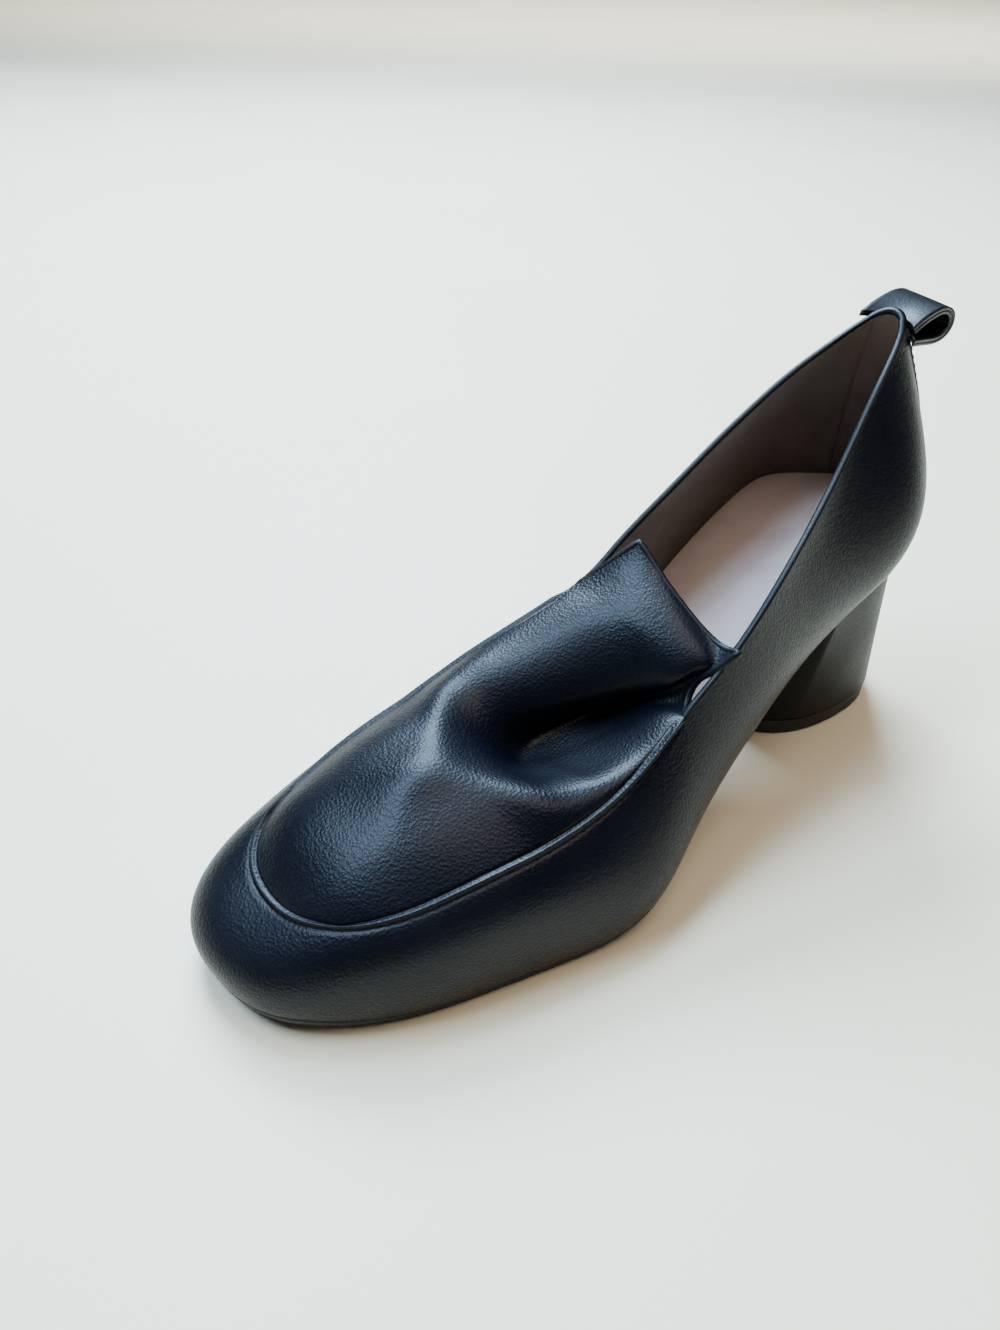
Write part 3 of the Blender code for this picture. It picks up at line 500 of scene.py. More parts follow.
def pebbledLeather(name, look):
    finish = Finish(name, look["colour"], look["roughness"])
    grain, depth, roughness = look["grain"], look["grainDepth"], look["roughness"]
    pebbles = finish.cells(grain, finish.warp(grain * 2.5, grain * 0.9))
    pebbles = finish.spread(pebbles, 0.15, 0.75, 1.0, 0.0)
    fine = finish.noise(grain * 0.5, 1.0)
    creases = finish.noise(look["creaseSize"], 2.0)
    clouds = finish.noise(look["cloudSize"], 3.0)
    finish.colours(clouds, 0.35, 0.70, look["colour"], look["worn"])
    shine = finish.spread(clouds, 0.3, 0.7, roughness - 0.05, roughness + 0.06)
    finish.rough(finish.math("ADD", shine, finish.spread(pebbles, 0.0, 1.0, 0.10, 0.0)))
    finish.relief(((creases, look["creaseDepth"]), (pebbles, depth), (fine, depth * 0.2)))
    return finish.set(Specular_IOR_Level=look["gloss"], Coat_Weight=look["coat"],
                      Coat_Roughness=look["coatRoughness"])


def softLining(name, look):
    finish = Finish(name, look["colour"], look["roughness"])
    clouds = finish.noise(look["cloudSize"], 4.0)
    finish.colours(clouds, 0.35, 0.70, look["colour"], look["worn"])
    fibres = finish.noise(look["fibreSize"], 5.0)
    pores = finish.cells(look["poreSize"], finish.warp(0.003, 0.001))
    finish.relief(((fibres, look["fibreDepth"]), (pores, look["poreDepth"])))
    return finish.set(Sheen_Weight=0.15, Sheen_Roughness=0.5, Specular_IOR_Level=0.35)


def plainRubber(name, look):
    finish = Finish(name, look["colour"], look["roughness"])
    clouds = finish.noise(look["cloudSize"], 4.0)
    finish.colours(clouds, 0.40, 0.75, look["colour"], look["worn"])
    finish.rough(finish.spread(clouds, 0.3, 0.7, look["roughness"] - 0.06, look["roughness"] + 0.08))
    finish.relief(((finish.noise(look["speckSize"], 4.0), look["depth"]),))
    return finish.set(Specular_IOR_Level=0.4)


# sizes and depths are in metres; a finish goes from colour to worn in soft clouds
hide = dict(creaseSize=0.011, cloudSize=0.030)
thinLeather = dict(cloudSize=0.012, fibreSize=0.0035, fibreDepth=0.00012, poreSize=0.0009,
                   poreDepth=0.00004)
rubber = dict(cloudSize=0.010, speckSize=0.0006)
finishes = {
    "leather": dict(hide, colour=(0.0013, 0.0020, 0.0048), worn=(0.0021, 0.0030, 0.0066), roughness=0.34,
                    grain=0.0008, grainDepth=0.00007, creaseDepth=0.00008, gloss=0.17, coat=0.05,
                    coatRoughness=0.22),
    "edge": dict(hide, colour=(0.0016, 0.0022, 0.0038), worn=(0.0030, 0.0038, 0.0058), roughness=0.38,
                 grain=0.0007, grainDepth=0.00003, creaseDepth=0.00003, gloss=0.17, coat=0.05,
                 coatRoughness=0.2),
    "cover": dict(hide, colour=(0.0026, 0.0026, 0.0026), worn=(0.0042, 0.0042, 0.0040), roughness=0.42,
                  grain=0.0007, grainDepth=0.00003, creaseDepth=0.00004, gloss=0.15, coat=0.0,
                  coatRoughness=0.3),
    "lining": dict(thinLeather, colour=(0.150, 0.105, 0.082), worn=(0.190, 0.138, 0.110), roughness=0.55),
    "sock": dict(thinLeather, colour=(0.440, 0.335, 0.310), worn=(0.500, 0.390, 0.365), roughness=0.45),
    # near black: painted shade standing in for the shadow in the gap between the sock's edge and the lining
    "sockGapShade": dict(thinLeather, colour=(0.012, 0.010, 0.009), worn=(0.020, 0.017, 0.015), roughness=0.60),
    "sole": dict(rubber, colour=(0.0024, 0.0024, 0.0026), worn=(0.0045, 0.0044, 0.0042), roughness=0.50,
                 depth=0.00005),
    "lift": dict(rubber, colour=(0.0036, 0.0036, 0.0036), worn=(0.0070, 0.0068, 0.0064), roughness=0.58,
                 depth=0.00006),
    "thread": dict(rubber, colour=(0.012, 0.013, 0.016), worn=(0.03, 0.032, 0.036), roughness=0.5,
                   depth=0.00004),
}
leather = pebbledLeather("pebbledLeather", finishes["leather"])
edgeLeather = pebbledLeather("edgeLeather", finishes["edge"])
lining = softLining("softLining", finishes["lining"])
sockLeather = softLining("sockLeather", finishes["sock"])
sockGapShade = softLining("sockGapShade", finishes["sockGapShade"])
heelCover = pebbledLeather("heelCover", finishes["cover"])
soleRubber = plainRubber("soleRubber", finishes["sole"])
liftRubber = plainRubber("liftRubber", finishes["lift"])
thread = plainRubber("blackThread", finishes["thread"])
print("finishes made")

# The upper: vamp, quarters, apron and tongue as one sheet with its lining
upper = {
    "ridge": 0.0008,            # raised apron seam
    "ridgeWall": 0.0011,        # its half width on the wall's side and on the apron's
    "ridgeApron": 0.0009,
    "groove": 0.00035,          # sunk line along the ridge
    "groovePlace": 1.15,        # its place and width, in half widths of the ridge
    "grooveWidth": 0.35,
    "seamEnd": 0.05,            # last share of the seam, where it sinks into the leather
    "cornerBlend": 0.0004,      # how softly the ridge turns at the apron's corners
    "tongueWall": 0.0011,       # thinned leather of the tongue
    "stripWidth": 0.0240,       # back strip
    "stripRise": 0.0006,
    "stripEdge": 0.0008,
    "stripMargin": 0.002,       # in turns
    "stripColumns": 21,
    "wallSteps": 17,
    "acrossSpan": (0.24, 4.76),  # places across that are evenly spaced
    "acrossSteps": 60,
    "sideSteps": 84,
    "tongueSteps": 40,
    "quarterSteps": 84,
}
nearEdge = (0.0, 0.008, 0.016, 0.024, 0.033, 0.043, 0.056, 0.074, 0.100, 0.135, 0.180)
nearFront = (0.0, 0.003, 0.006, 0.0095, 0.0135, 0.018, 0.024, 0.032, 0.042)
fromRim = np.array(nearEdge[::-1])
wallShares = np.concatenate([np.linspace(0.0, 0.80, upper["wallSteps"]), 1.0 - fromRim])
wallShares = np.unique(np.round(wallShares, 5))
evenlyAcross = np.linspace(*upper["acrossSpan"], upper["acrossSteps"])
placesAcross = np.concatenate([nearEdge, evenlyAcross, acrossEnd - fromRim])
sideStations = np.concatenate([nearFront, np.linspace(0.054, 1.0, upper["sideSteps"])])
tongueStations = np.linspace(1.0, 2.0, upper["tongueSteps"] + 1)[1:]
stations = np.concatenate([sideStations, tongueStations])
count = len(wallRows)
outerEnd, innerEnd = last["outerThroat"] / count, last["innerThroat"] / count
outerCorner, innerCorner = last["outerCorner"] / count, last["innerCorner"] / count


def paced(values):
    values = np.asarray(values, float)
    return np.where(values > 1.0, 1.0 + (values - 1.0) * last["tonguePace"], values)


def apronEnds(station):
    # the outer and the inner edge of the apron, or of the tongue past station 1
    alongSeam = min(station, 1.0)
    past = station - alongSeam
    ends = []
    for corner, end, tip in ((outerCorner, outerEnd, tongueCorners[0]),
                             (innerCorner, innerEnd, tongueCorners[1])):
        seam = end - corner
        here, before = wallLines(np.array([corner + seam * alongSeam, corner + seam * 0.98]))[1]
        if past > 0:
            reach = np.array(tip) * last["tongueLength"]
            leave = unit(here - before) * np.linalg.norm(reach)
            here = (here + leave * (past ** 3 - 2 * past ** 2 + past)
                    + reach * (3 * past ** 2 - 2 * past ** 3) + reach * (past ** 3 - past ** 2))
        ends.append(here)
    return ends


frontShares = softCurve([[across] for across in apronAcross[0][1:]] + [[1.0]], placesAcross)[:, 0]


def apronGrid():
    knots = paced([row[0] for row in apronAcross])
    lines = np.stack([openCurve(knots, [row[1:] for row in table], paced(stations))
                      for table in (apronAcross, apronRise)], axis=-1)
    lines[stations <= 1.0, 0] = 0.0
    basis = softCurve(np.eye(lines.shape[1] + 1), placesAcross)
    front = wallLines(outerCorner + (innerCorner - outerCorner) * frontShares)[1]
    shares = frontShares[:, None]
    bulge = front - (front[0] * (1 - shares) + front[-1] * shares)
    rows = []
    for station, line in zip(stations, lines):
        outer, inner = apronEnds(station)
        chord = inner - outer
        lift = unit(np.array([0.0, -chord[2], chord[1]]))
        lift *= math.copysign(1.0, lift[2])
        controls = []
        for across, rise in line:
            height = rise * (last["apronCrown"] if rise > 0 else last["foldDepth"])
            controls.append(outer + chord * across + lift * height)
        controls.append(inner)
        rows.append(basis @ np.array(controls) + bulge * (1 - min(station, 1.0)) ** 2)
    return np.array(rows)


def ridgeProfile(distance, halfWidth):
    bump = upper["ridge"] * np.cos(np.clip(distance / halfWidth, 0, 1) * math.pi / 2) ** 2
    fromGroove = distance - halfWidth * upper["groovePlace"]
    return bump - upper["groove"] * np.exp(-(fromGroove / (halfWidth * upper["grooveWidth"])) ** 2)


apron = apronGrid()
onApron = stations <= 1.0
frontTurns = outerCorner + (innerCorner - outerCorner) * frontShares
outerTurns = outerCorner + (outerEnd - outerCorner) * sideStations
innerTurns = innerCorner + (innerEnd - innerCorner) * sideStations


def facingAt(turns):
    return unit(outward(turns) + up)


# raise the seam on the apron's side: distance from its nearest edge, and that edge's direction
sideReach = np.array([reachOf(row) for row in apron])
fromOuter, fromInner = sideReach, sideReach[:, -1:] - sideReach
frontReach = np.stack([reachOf(apron[:, k]) for k in range(apron.shape[1])], 1)
weights = [1.0 / (distance + upper["cornerBlend"]) ** 4 for distance in (fromOuter, fromInner, frontReach)]
total = sum(weights)
sideFacing = np.zeros((3,) + apron.shape)
sideFacing[0, onApron] = facingAt(outerTurns)[:, None]
sideFacing[1, onApron] = facingAt(innerTurns)[:, None]
sideFacing[2] = facingAt(frontTurns)[None]
sideFacing[0, ~onApron] = sideFacing[0, len(sideStations) - 1]
sideFacing[1, ~onApron] = sideFacing[1, len(sideStations) - 1]
facing = unit(sum(w[..., None] * f for w, f in zip(weights, sideFacing)) / total[..., None])
nearest = np.minimum(np.minimum(fromOuter, fromInner), frontReach)
seamFade = smooth((1.0 - stations) / upper["seamEnd"])
rise = ridgeProfile(nearest, upper["ridgeApron"]) * seamFade[:, None]
apron = apron + facing * rise[..., None]

# the wall's columns: over the front, back along the inner side, round the heel, forward on the outer side
heelRow = wallRows[1][1] * last["ballWidth"]
strip = upper["stripWidth"] / 2 / heelRow / count
edge = upper["stripEdge"] / heelRow / count
stripSteps = [strip + edge * k for k in (1.6, 1.0, 0.66, 0.33, 0.0)]
stripSide = stripSteps[0] + upper["stripMargin"]
outerQuarter = np.linspace(outerEnd, stripSide, upper["quarterSteps"])[1:]
stripColumns = np.linspace(strip, -strip, upper["stripColumns"])[1:-1]
innerQuarter = np.linspace(-stripSide, innerEnd - 1.0, upper["quarterSteps"])[:-1]
back = np.concatenate([outerQuarter, stripSteps, stripColumns, -np.array(stripSteps[::-1]), innerQuarter])
around = np.concatenate([frontTurns, innerTurns[1:], back[::-1], outerTurns[::-1][:-1]])
wall = wallPoints(around, wallShares)
wallOut = outward(around)
fromBack = np.abs((around + 0.5) % 1.0 - 0.5)
onStrip = smooth((strip + edge - fromBack) / edge)
wall += (wallOut * (onStrip * upper["stripRise"])[:, None])[:, None]
rimDistance = np.array([reachOf(column[::-1])[::-1] for column in wall])
seamStation = np.zeros(len(around))
inFront = (around >= outerEnd) & (around <= innerEnd)
onOuter, onInner = around < outerCorner, around > innerCorner
seamStation[onOuter] = ((outerCorner - around) / (outerCorner - outerEnd))[onOuter]
seamStation[onInner] = ((around - innerCorner) / (innerEnd - innerCorner))[onInner]
wallFade = np.where(inFront, smooth((1.0 - seamStation) / upper["seamEnd"]), 0.0)
wallRise = ridgeProfile(rimDistance, upper["ridgeWall"]) * wallFade[:, None]
wall += facingAt(around)[:, None] * wallRise[..., None]

wallIndex = np.arange(wall.shape[0] * wall.shape[1]).reshape(wall.shape[:2])
rims = wallIndex[:, -1]
acrossCount, sideCount = len(placesAcross), len(sideStations)
innerRims = rims[acrossCount - 1:acrossCount - 1 + sideCount]
outerRims = np.concatenate([[rims[0]], rims[::-1][:sideCount - 1]])
apronIndex = np.zeros(apron.shape[:2], int)
places = [wall.reshape(-1, 3)]
nextIndex = wallIndex.size
apronIndex[0] = rims[:acrossCount]
for k in range(1, len(stations)):
    row = apron[k, 1:-1] if k < sideCount else apron[k]
    fresh = np.arange(nextIndex, nextIndex + len(row))
    nextIndex += len(row)
    places.append(row)
    apronIndex[k] = np.concatenate([[outerRims[k]], fresh, [innerRims[k]]]) if k < sideCount else fresh
wallFaces = sheetFaces(np.concatenate([wallIndex[:1], wallIndex[::-1]]))
faces = np.concatenate([wallFaces, sheetFaces(apronIndex)])
upperPiece = addPiece("upperLeather", np.concatenate(places), faces, [leather, lining, edgeLeather],
                      "upper")
full = upperPiece.vertex_groups.new(name="fullThickness")
full.add(list(range(int(apronIndex[sideCount - 3, 1]))), 1.0, "REPLACE")
skin = upperPiece.modifiers.new("lining", "SOLIDIFY")
skin.vertex_group = full.name
skin.thickness_vertex_group = upper["tongueWall"] / last["wall"]
skin.thickness = last["wall"]
skin.offset = -1.0
skin.material_offset = 1
skin.material_offset_rim = 2
print("upper:", len(faces), "faces")

# The rolled topline round the collar, and the turned edge of the tongue
topline = {"width": 0.0019, "height": 0.0019, "sink": 0.0005, "spacing": 0.0012, "endGap": 0.0015,
           "columns": 160, "sides": 14, "squareness": 2.6, "taper": 0.004}
outerCollar = np.linspace(outerEnd + topline["endGap"], 0.0, topline["columns"])
innerCollar = np.linspace(0.0, innerEnd - 1.0 - topline["endGap"], topline["columns"])
collarTurns = np.concatenate([outerCollar, innerCollar[1:]])
foot, rim, flare, turn = wallLines(collarTurns)
out = outward(collarTurns)
side = out * np.cos(turn)[:, None] + up * np.sin(turn)[:, None]
top = -out * np.sin(turn)[:, None] + up * np.cos(turn)[:, None]
stripHere = smooth((strip + edge - np.abs(collarTurns)) / edge)[:, None] * upper["stripRise"]
line = rim - side * last["wall"] / 2 - top * topline["sink"] + out * stripHere / 2
line, side, top = resample(line, [side, top], topline["spacing"])
rollPiece("collarRoll", line, unit(side), unit(top), topline, edgeLeather)

tongueEdge = {"width": 0.0021, "height": 0.0022, "spacing": 0.0010, "sides": 12, "squareness": 2.2,
              "taper": 0.004}
normals = gridNormals(apron)
firstFree = sideCount - 1
edgeLine = np.concatenate([apron[firstFree:, 0], apron[-1, 1:-1], apron[firstFree:, -1][::-1]])
edgeNormal = np.concatenate([normals[firstFree:, 0], normals[-1, 1:-1], normals[firstFree:, -1][::-1]])
if edgeNormal[:, 2].mean() < 0:
    edgeNormal = -edgeNormal
keep = np.concatenate([[True], np.linalg.norm(np.diff(edgeLine, axis=0), axis=1) > 1e-5])
edgeLine, edgeNormal = resample(edgeLine[keep], [edgeNormal[keep]], tongueEdge["spacing"])
edgeNormal = unit(edgeNormal)
run = unit(np.gradient(edgeLine, axis=0))
beside = unit(np.cross(edgeNormal, run))
edgeLine = edgeLine - edgeNormal * last["wall"] / 2
rollPiece("tongueRoll", edgeLine, beside, edgeNormal, tongueEdge, edgeLeather)
print("edges rolled")

# Stitches beside the back strip
stitch = {"pitch": 0.0028, "gap": 0.22, "radius": 0.00020, "sides": 6, "rings": 5, "steps": 8,
          "fromStrip": 1.3, "shares": (0.05, 0.90)}
stripLines, stripNormals = [], []
for sign in (1, -1):
    turns = np.full(2, sign * (strip - edge * stitch["fromStrip"]))
    column = wallPoints(turns, np.linspace(*stitch["shares"], 60))[0]
    stripLines.append(column + outward(turns)[0] * upper["stripRise"])
    stripNormals.append(np.repeat(outward(turns)[:1], len(column), 0))
stitchPiece("stripStitches", stripLines, stripNormals, stitch, thread)
print("stitches laid")


def stackedBlock(name, loops, materials, replaced, bottomRise=None, topRise=None):
    # a solid between loops of equal length, bottom to top, closed by rows of quads; a second
    # material is for the top
    capColumns = 24
    size = len(loops[0])
    half = size // 2
    places = [np.array(loop, float) for loop in loops]
    index = np.arange(size * len(loops)).reshape(len(loops), size)
    closed = np.concatenate([index, index[:, :1]], 1)
    faces = [tuple(face) for face in sheetFaces(closed)]
    marks = [0] * len(faces)
    nextIndex = size * len(loops)
    for ring, loop, riseAt, upward in ((index[0], loops[0], bottomRise, False),
                                       (index[-1], loops[-1], topRise, True)):
        rows = []
        for k in range(1, half):
            share = np.arange(1, capColumns)[:, None] / capColumns
            middle = loop[k] + (loop[-k] - loop[k]) * share
            if riseAt:
                middle[:, 2] = riseAt(middle[:, 0])
            places.append(middle)
            rows.append([ring[k]] + list(range(nextIndex, nextIndex + capColumns - 1)) + [ring[-k]])
            nextIndex += capColumns - 1
        cap = []
        for near, far in zip(rows[:-1], rows[1:]):
            for c in range(capColumns):
                cap.append((near[c], near[c + 1], far[c + 1], far[c]))
        for c in range(capColumns):
            cap.append((ring[0], rows[0][c + 1], rows[0][c]))
            cap.append((ring[half], rows[-1][c], rows[-1][c + 1]))
        faces += cap if upward else [face[::-1] for face in cap]
        marks += [1 if upward and len(materials) > 1 else 0] * len(cap)
    return addPiece(name, np.concatenate(places), faces, materials, replaced, marks)


# The outsole: a thin sole whose edge has a slight step under the feather line
sole = {
    "columns": 320,
    "inset": 0.0008,
    "edge": (                   # from the bottom up: further in, share of the thickness, lift
        (0.0010, 0.00, 0.0000), (0.0003, 0.00, 0.0003), (0.0000, 0.00, 0.0010), (0.0000, 0.60, 0.0000),
        (0.0005, 0.68, 0.0000), (0.0005, 0.76, 0.0000), (0.0001, 0.84, 0.0000), (0.0001, 1.00, 0.0000),
    ),
}
loops = []
for furtherIn, share, lift in sole["edge"]:
    loop = footLoop(sole["columns"], sole["inset"] + furtherIn)
    bottom, topRise = soleBottom(loop[:, 0]), soleTop(loop[:, 0])
    loop[:, 2] = bottom + (topRise - bottom) * share + lift
    loops.append(loop)
stackedBlock("outsoleRubber", loops, [soleRubber], "outsole", soleBottom, soleTop)
print("outsole made")

# The insole and its sock; the sock's sides and rounded rim are painted near black as painted shade for the
# shadowed gap round it
insole = {
    "columns": 320,
    "inset": 0.0024,
    "edge": ((0.0, 0.0012), (0.0004, 0.0004), (0.0012, 0.0)),   # further in, drop from the top
}
loops = [footLoop(insole["columns"], insole["inset"])]
loops[0][:, 2] = tread(loops[0][:, 0])
for furtherIn, drop in insole["edge"]:
    loop = footLoop(insole["columns"], insole["inset"] + furtherIn)
    loop[:, 2] = insoleTop(loop[:, 0]) - drop
    loops.append(loop)
# the sides, rounded rim and bottom get the painted gap shade; the top gets the sock's own colour
stackedBlock("insoleSock", loops, [sockGapShade, sockLeather], "insole", tread, insoleTop)
print("insole made")

# The heel and its top lift
heel = {
    "topLength": 0.0465,
    "sideInset": 0.0028,
    "baseWidth": 0.0546,
    "baseWidest": 0.40,         # share of the base's length, from the back
    "squareness": 2.3,
    "breastRounding": 0.0030,
    "columns": 200,
    "breastColumn": 70,
    "tuck": 0.0004,             # how far the cover is turned in at the bottom
    "tuckShare": 0.012,         # share of the height where that ends
    "liftThickness": 0.0060,
    "liftInset": 0.0003,
    "liftRounding": 0.0007,
    "liftRim": 0.0003,          # further in at the rims
}
heelTopBack = wallLines([0.0])[0][0, 0] + heelPlan["backInset"]


def heelTopRing():
    half = heel["columns"] // 2
    breast = heelTopBack + heel["topLength"]
    ring = np.zeros((heel["columns"], 3))
    for side in (1, -1):
        turns = side * np.linspace(0.0, 0.25, 400)
        foot = wallLines(turns)[0]
        depth = np.clip(foot[:, 0] / breast, 0, 1)[:, None]
        inset = heelPlan["backInset"] + (heel["sideInset"] - heelPlan["backInset"]) * depth
        line = foot - outward(turns) * inset
        line = line[line[:, 0] < breast - heel["breastRounding"]]
        reach = reachOf(line[:, :2])
        corner = line[-1]
        for k in range(half + 1):
            index = side * k % heel["columns"]
            if k <= heel["breastColumn"]:
                at = reach[-1] * k / heel["breastColumn"]
                ring[index, :2] = [np.interp(at, reach, line[:, 0]), np.interp(at, reach, line[:, 1])]
            else:
                across = 1 - (k - heel["breastColumn"]) / (half - heel["breastColumn"])
                bulge = heel["breastRounding"] * (1 - across ** 6)
                ring[index, :2] = [corner[0] + bulge, corner[1] * across]
    return ring


def heelBaseRing(inset=0.0):
    angle = 2 * math.pi * np.arange(heel["columns"]) / heel["columns"]
    forward, side = -np.cos(angle), np.sin(angle)
    share = np.where(forward > 0, 1 - heel["baseWidest"], heel["baseWidest"])
    reach = heelPlan["baseLength"] * share - inset
    power = 2 / heel["squareness"]
    widest = heelTopBack - heelPlan["kick"] + heelPlan["baseLength"] * heel["baseWidest"]
    along = widest + reach * np.sign(forward) * np.abs(forward) ** power
    across = (heel["baseWidth"] / 2 - inset) * np.sign(side) * np.abs(side) ** power
    return np.stack([along, across, np.zeros(heel["columns"])], 1)


def heelSeat(along):
    return soleBottom(along) - last["clearance"]


base, topRing = heelBaseRing(), heelTopRing()
middle = np.array([heelTopBack - heelPlan["kick"] + heelPlan["baseLength"] / 2, 0.0, 0.0])
loops = []
for height in np.concatenate([[0.0, 0.004, heel["tuckShare"]], np.linspace(0.03, 1.0, 24)]):
    ring = base + (topRing - base) * height
    tuck = heel["tuck"] * (1 - smooth(height / heel["tuckShare"]))
    ring = ring - unit(ring - middle) * tuck
    ring[:, 2] = heel["liftThickness"] + (heelSeat(ring[:, 0]) - heel["liftThickness"]) * height
    loops.append(ring)
stackedBlock("heelBlock", loops, [heelCover], "heel", None, heelSeat)
# rise and further inset of the lift's rings
liftRows = (
    (0.0, heel["liftRounding"]), (0.0002, heel["liftRim"]), (heel["liftRounding"], 0.0),
    (0.0052, 0.0), (heel["liftThickness"] - last["clearance"], heel["liftRim"]),
)
loops = []
for rise, furtherIn in liftRows:
    ring = heelBaseRing(heel["liftInset"] + furtherIn)
    ring[:, 2] = rise
    loops.append(ring)
stackedBlock("heelLift", loops, [liftRubber], "top_lift")
print("heel made")

# The pull loop: a strap of two leather layers that arches out to a fold and comes back
pullLoop = {
    "width": 0.0175,
    "thickness": 0.0021,
    "layer": 0.00098,           # thickness of one of its two layers
    "reach": 0.0175,
    "height": 0.0080,
    "drop": 0.0035,             # root under the rim
    "wrap": 0.0050,             # how far its sides follow the back's curve
    "skew": 0.16,
    "rootGap": 0.0005,
    "columns": 22,
    "steps": 110,
    "runSteps": 26,             # steps of the coarse curve that gives its first and last direction
}
# reach, height
loopRows = (
    (0.00, 0.00), (0.18, 0.19), (0.45, 0.34), (0.70, 0.33), (0.91, 0.13), (1.00, -0.19),
    (0.945, -0.49), (0.76, -0.66), (0.51, -0.67), (0.24, -0.58), (0.00, -0.50),
)


def backFace(rise, across):
    # where the back of the upper is, at a rise and a distance to the side
    turns = np.linspace(-0.09, 0.09, 91)
    columns = wallPoints(turns, np.linspace(0.5, 1.0, 60)) + (outward(turns) * upper["stripRise"])[:, None]
    atRise = np.array([[np.interp(rise, column[:, 2], column[:, axis]) for axis in (0, 1)]
                       for column in columns])
    order = np.argsort(atRise[:, 1])
    return np.interp(across, atRise[order, 1], atRise[order, 0])


def rootSeat(run, rise, across):
    forward, lift = unit(np.array([-run[0], run[1]]))
    seats = []
    for side in (-0.5, 0.5):
        ahead, above = side * pullLoop["thickness"] * lift, -side * pullLoop["thickness"] * forward
        seats.append(float(backFace(rise + above, across)) - ahead)
    return min(seats) - pullLoop["rootGap"]


rootRise = wallLines([0.0])[1][0, 2] - pullLoop["drop"]
table = np.array(loopRows) * (pullLoop["reach"], pullLoop["height"])
knots = np.arange(len(table))
path = openCurve(knots, table, np.linspace(0, knots[-1], pullLoop["steps"] + 1))
coarse = openCurve(knots, table, np.linspace(0, knots[-1], pullLoop["runSteps"] + 1))
firstRun, lastRun = coarse[1] - coarse[0], coarse[-2] - coarse[-1]
middle = rootSeat(firstRun, rootRise, 0.0)
strap = []
for share in np.linspace(0.5, -0.5, pullLoop["columns"] + 1):
    across = share * pullLoop["width"]
    wrapped = middle + pullLoop["wrap"] * (2 * share) ** 2
    upperSeat = min(wrapped, rootSeat(firstRun, rootRise, across))
    lowerSeat = min(wrapped, rootSeat(lastRun, rootRise + path[-1, 1], across))
    column = []
    for k, (reachOut, lift) in enumerate(path):
        seat = upperSeat if k < pullLoop["steps"] / 2 else lowerSeat
        near = max(0.0, 1 - reachOut / pullLoop["reach"]) ** 2
        skewed = reachOut * (1 - pullLoop["skew"] * 2 * share)
        column.append((middle + (seat - middle) * near - skewed, across, rootRise + lift))
    strap.append(column)
strap = np.array(strap)
strapNormals = gridNormals(strap)
index = np.arange(strap.shape[0] * strap.shape[1]).reshape(strap.shape[:2])
for name, offset in (("loopOuterLayer", 1), ("loopInnerLayer", -1)):
    shifted = strap - strapNormals * offset * (pullLoop["thickness"] / 4)
    materials = [edgeLeather, edgeLeather, soleRubber]
    piece = addPiece(name, shifted.reshape(-1, 3), sheetFaces(index), materials,
                     "pull_loop" if offset == 1 else None)
    layerSkin = piece.modifiers.new("layer", "SOLIDIFY")
    layerSkin.thickness = pullLoop["layer"]
    layerSkin.offset = 0.0
    layerSkin.material_offset_rim = 2
print("pull loop made")

# Floor, lights and camera
room = {
    "floor": (0.95, 0.80, 0.57),
    "floorRoughness": 0.55,
    "floorSide": 12.0,
    "floorRise": -0.0002,
    "air": (0.86, 0.90, 1.0),
    "airStrength": 0.05,
    "shoeMiddle": (0.0, -0.09, 0.04),
}
side, rise = room["floorSide"], room["floorRise"]
floorMesh = bpy.data.meshes.new("floor")
floorCorners = [(-side, -side, rise), (side, -side, rise), (side, side, rise), (-side, side, rise)]
floorMesh.from_pydata(floorCorners, [], [(0, 1, 2, 3)])
floor = bpy.data.objects.new("floor", floorMesh)
bpy.context.scene.collection.objects.link(floor)
paint = Finish("paleFloor", room["floor"], room["floorRoughness"])
paint.rough(paint.spread(paint.noise(0.15), 0.3, 0.7, 0.48, 0.60))
floorMesh.materials.append(paint.made)

world = bpy.data.worlds.new("softRoom")
world.use_nodes = True
background = world.node_tree.nodes["Background"]
background.inputs["Color"].default_value = (*room["air"], 1.0)
background.inputs["Strength"].default_value = room["airStrength"]
bpy.context.scene.world = world


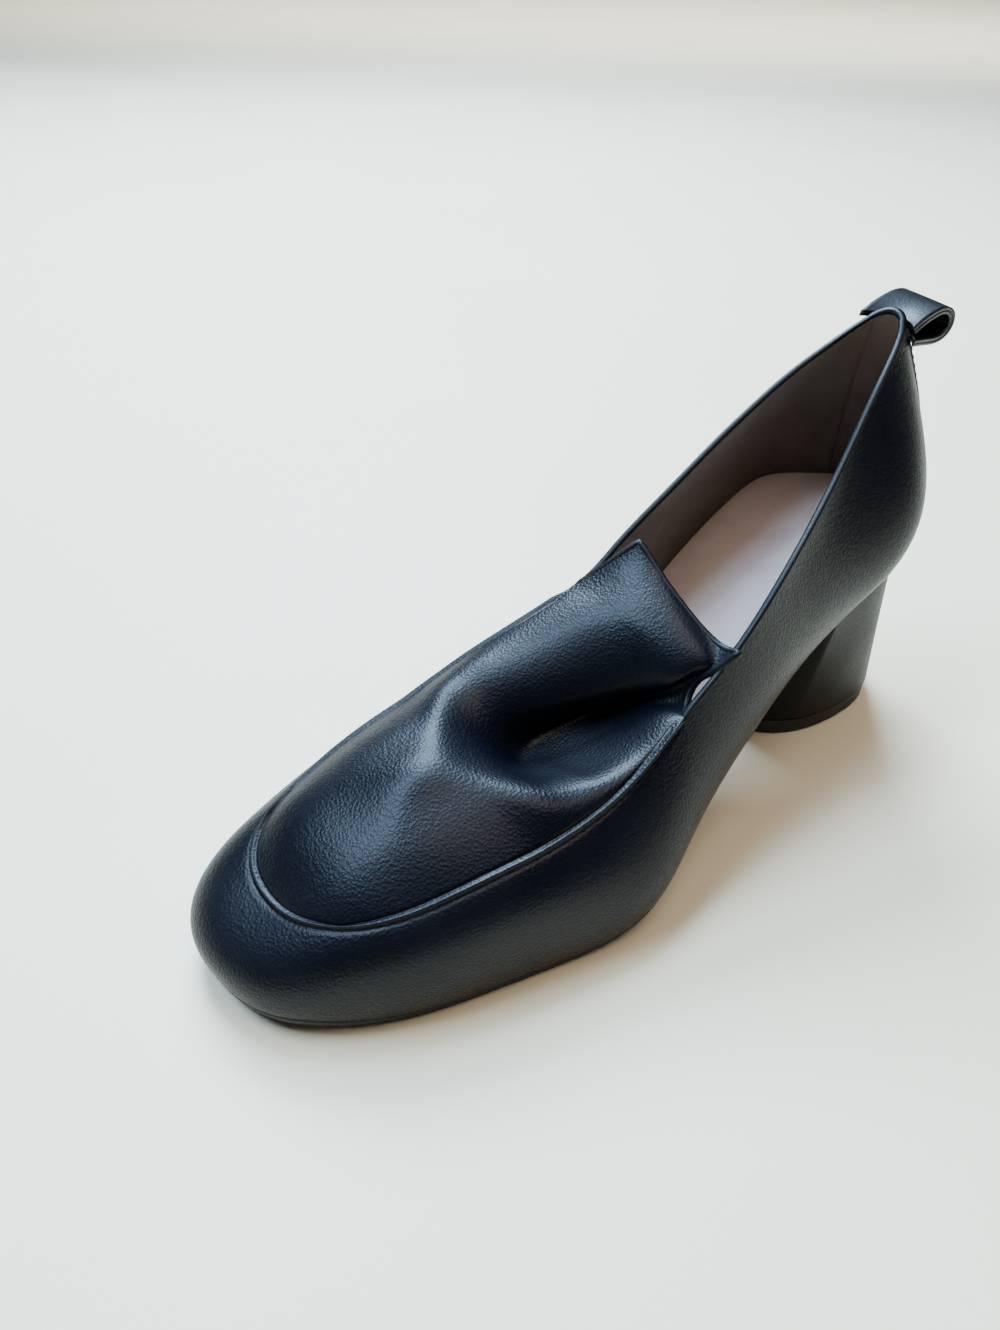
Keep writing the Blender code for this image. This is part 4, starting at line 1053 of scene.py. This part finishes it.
def softbox(name, place, target, size, power, colour):
    lamp = bpy.data.lights.new(name, "AREA")
    lamp.shape = "RECTANGLE"
    lamp.size, lamp.size_y = size
    lamp.energy = power
    lamp.color = colour
    made = bpy.data.objects.new(name, lamp)
    made.location = place
    made.rotation_euler = (Vector(target) - Vector(place)).to_track_quat("-Z", "Y").to_euler()
    bpy.context.scene.collection.objects.link(made)


# name, place, what it points at, size, power, colour
softboxes = (
    ("windowLight", (-1.05, 0.42, 1.20), room["shoeMiddle"], (0.85, 0.62), 92.0, (0.55, 0.76, 1.0)),
    ("toeLight", (-0.52, 0.04, 1.32), room["shoeMiddle"], (0.42, 0.34), 22.0, (0.50, 0.73, 1.0)),
    ("apronLight", (-0.42, -0.62, 1.30), room["shoeMiddle"], (0.55, 0.40), 26.0, (0.50, 0.73, 1.0)),
    ("farLight", (-1.5, 1.5, 1.5), (-3.6, 3.6, 0.0), (3.0, 2.0), 170.0, (0.80, 0.90, 1.0)),
    ("topLight", (0.35, 0.10, 1.50), room["shoeMiddle"], (0.90, 0.90), 12.0, (1.0, 0.90, 0.76)),
)
for values in softboxes:
    softbox(*values)

# The camera of the photograph: it looks down across the outer side, turned a little
view = {
    "place": (0.26905, 0.1388, 0.2118),     # along, across, rise
    "ahead": (-0.768, 0.640, 0.0),          # where it looks, seen from above
    "pitch": 38.90,
    "roll": 1.52,
    "focal": 950.0,                         # in pixels of the photograph
    "photoHeight": 1330,
    "sensorHeight": 36.0,
}
pitch, roll = math.radians(view["pitch"]), math.radians(view["roll"])
level = Vector(view["ahead"]).normalized()
ahead = level * math.cos(pitch) - Vector((0, 0, 1)) * math.sin(pitch)
right = ahead.cross(Vector((0, 0, 1))).normalized()
above = right.cross(ahead)
tiltedRight = right * math.cos(roll) + above * math.sin(roll)
tiltedUp = above * math.cos(roll) - right * math.sin(roll)
lens = bpy.data.cameras.new("photoCamera")
lens.sensor_fit = "VERTICAL"
lens.sensor_height = view["sensorHeight"]
lens.lens = view["focal"] / view["photoHeight"] * view["sensorHeight"]
lens.clip_start = 0.01
camera = bpy.data.objects.new("photoCamera", lens)
axes = Matrix((tiltedRight, tiltedUp, -ahead)).transposed().to_4x4()
camera.matrix_world = Matrix.Translation(Vector(toModel(view["place"]))) @ axes
bpy.context.scene.collection.objects.link(camera)
bpy.context.scene.camera = camera
print("floor, lights and camera set")
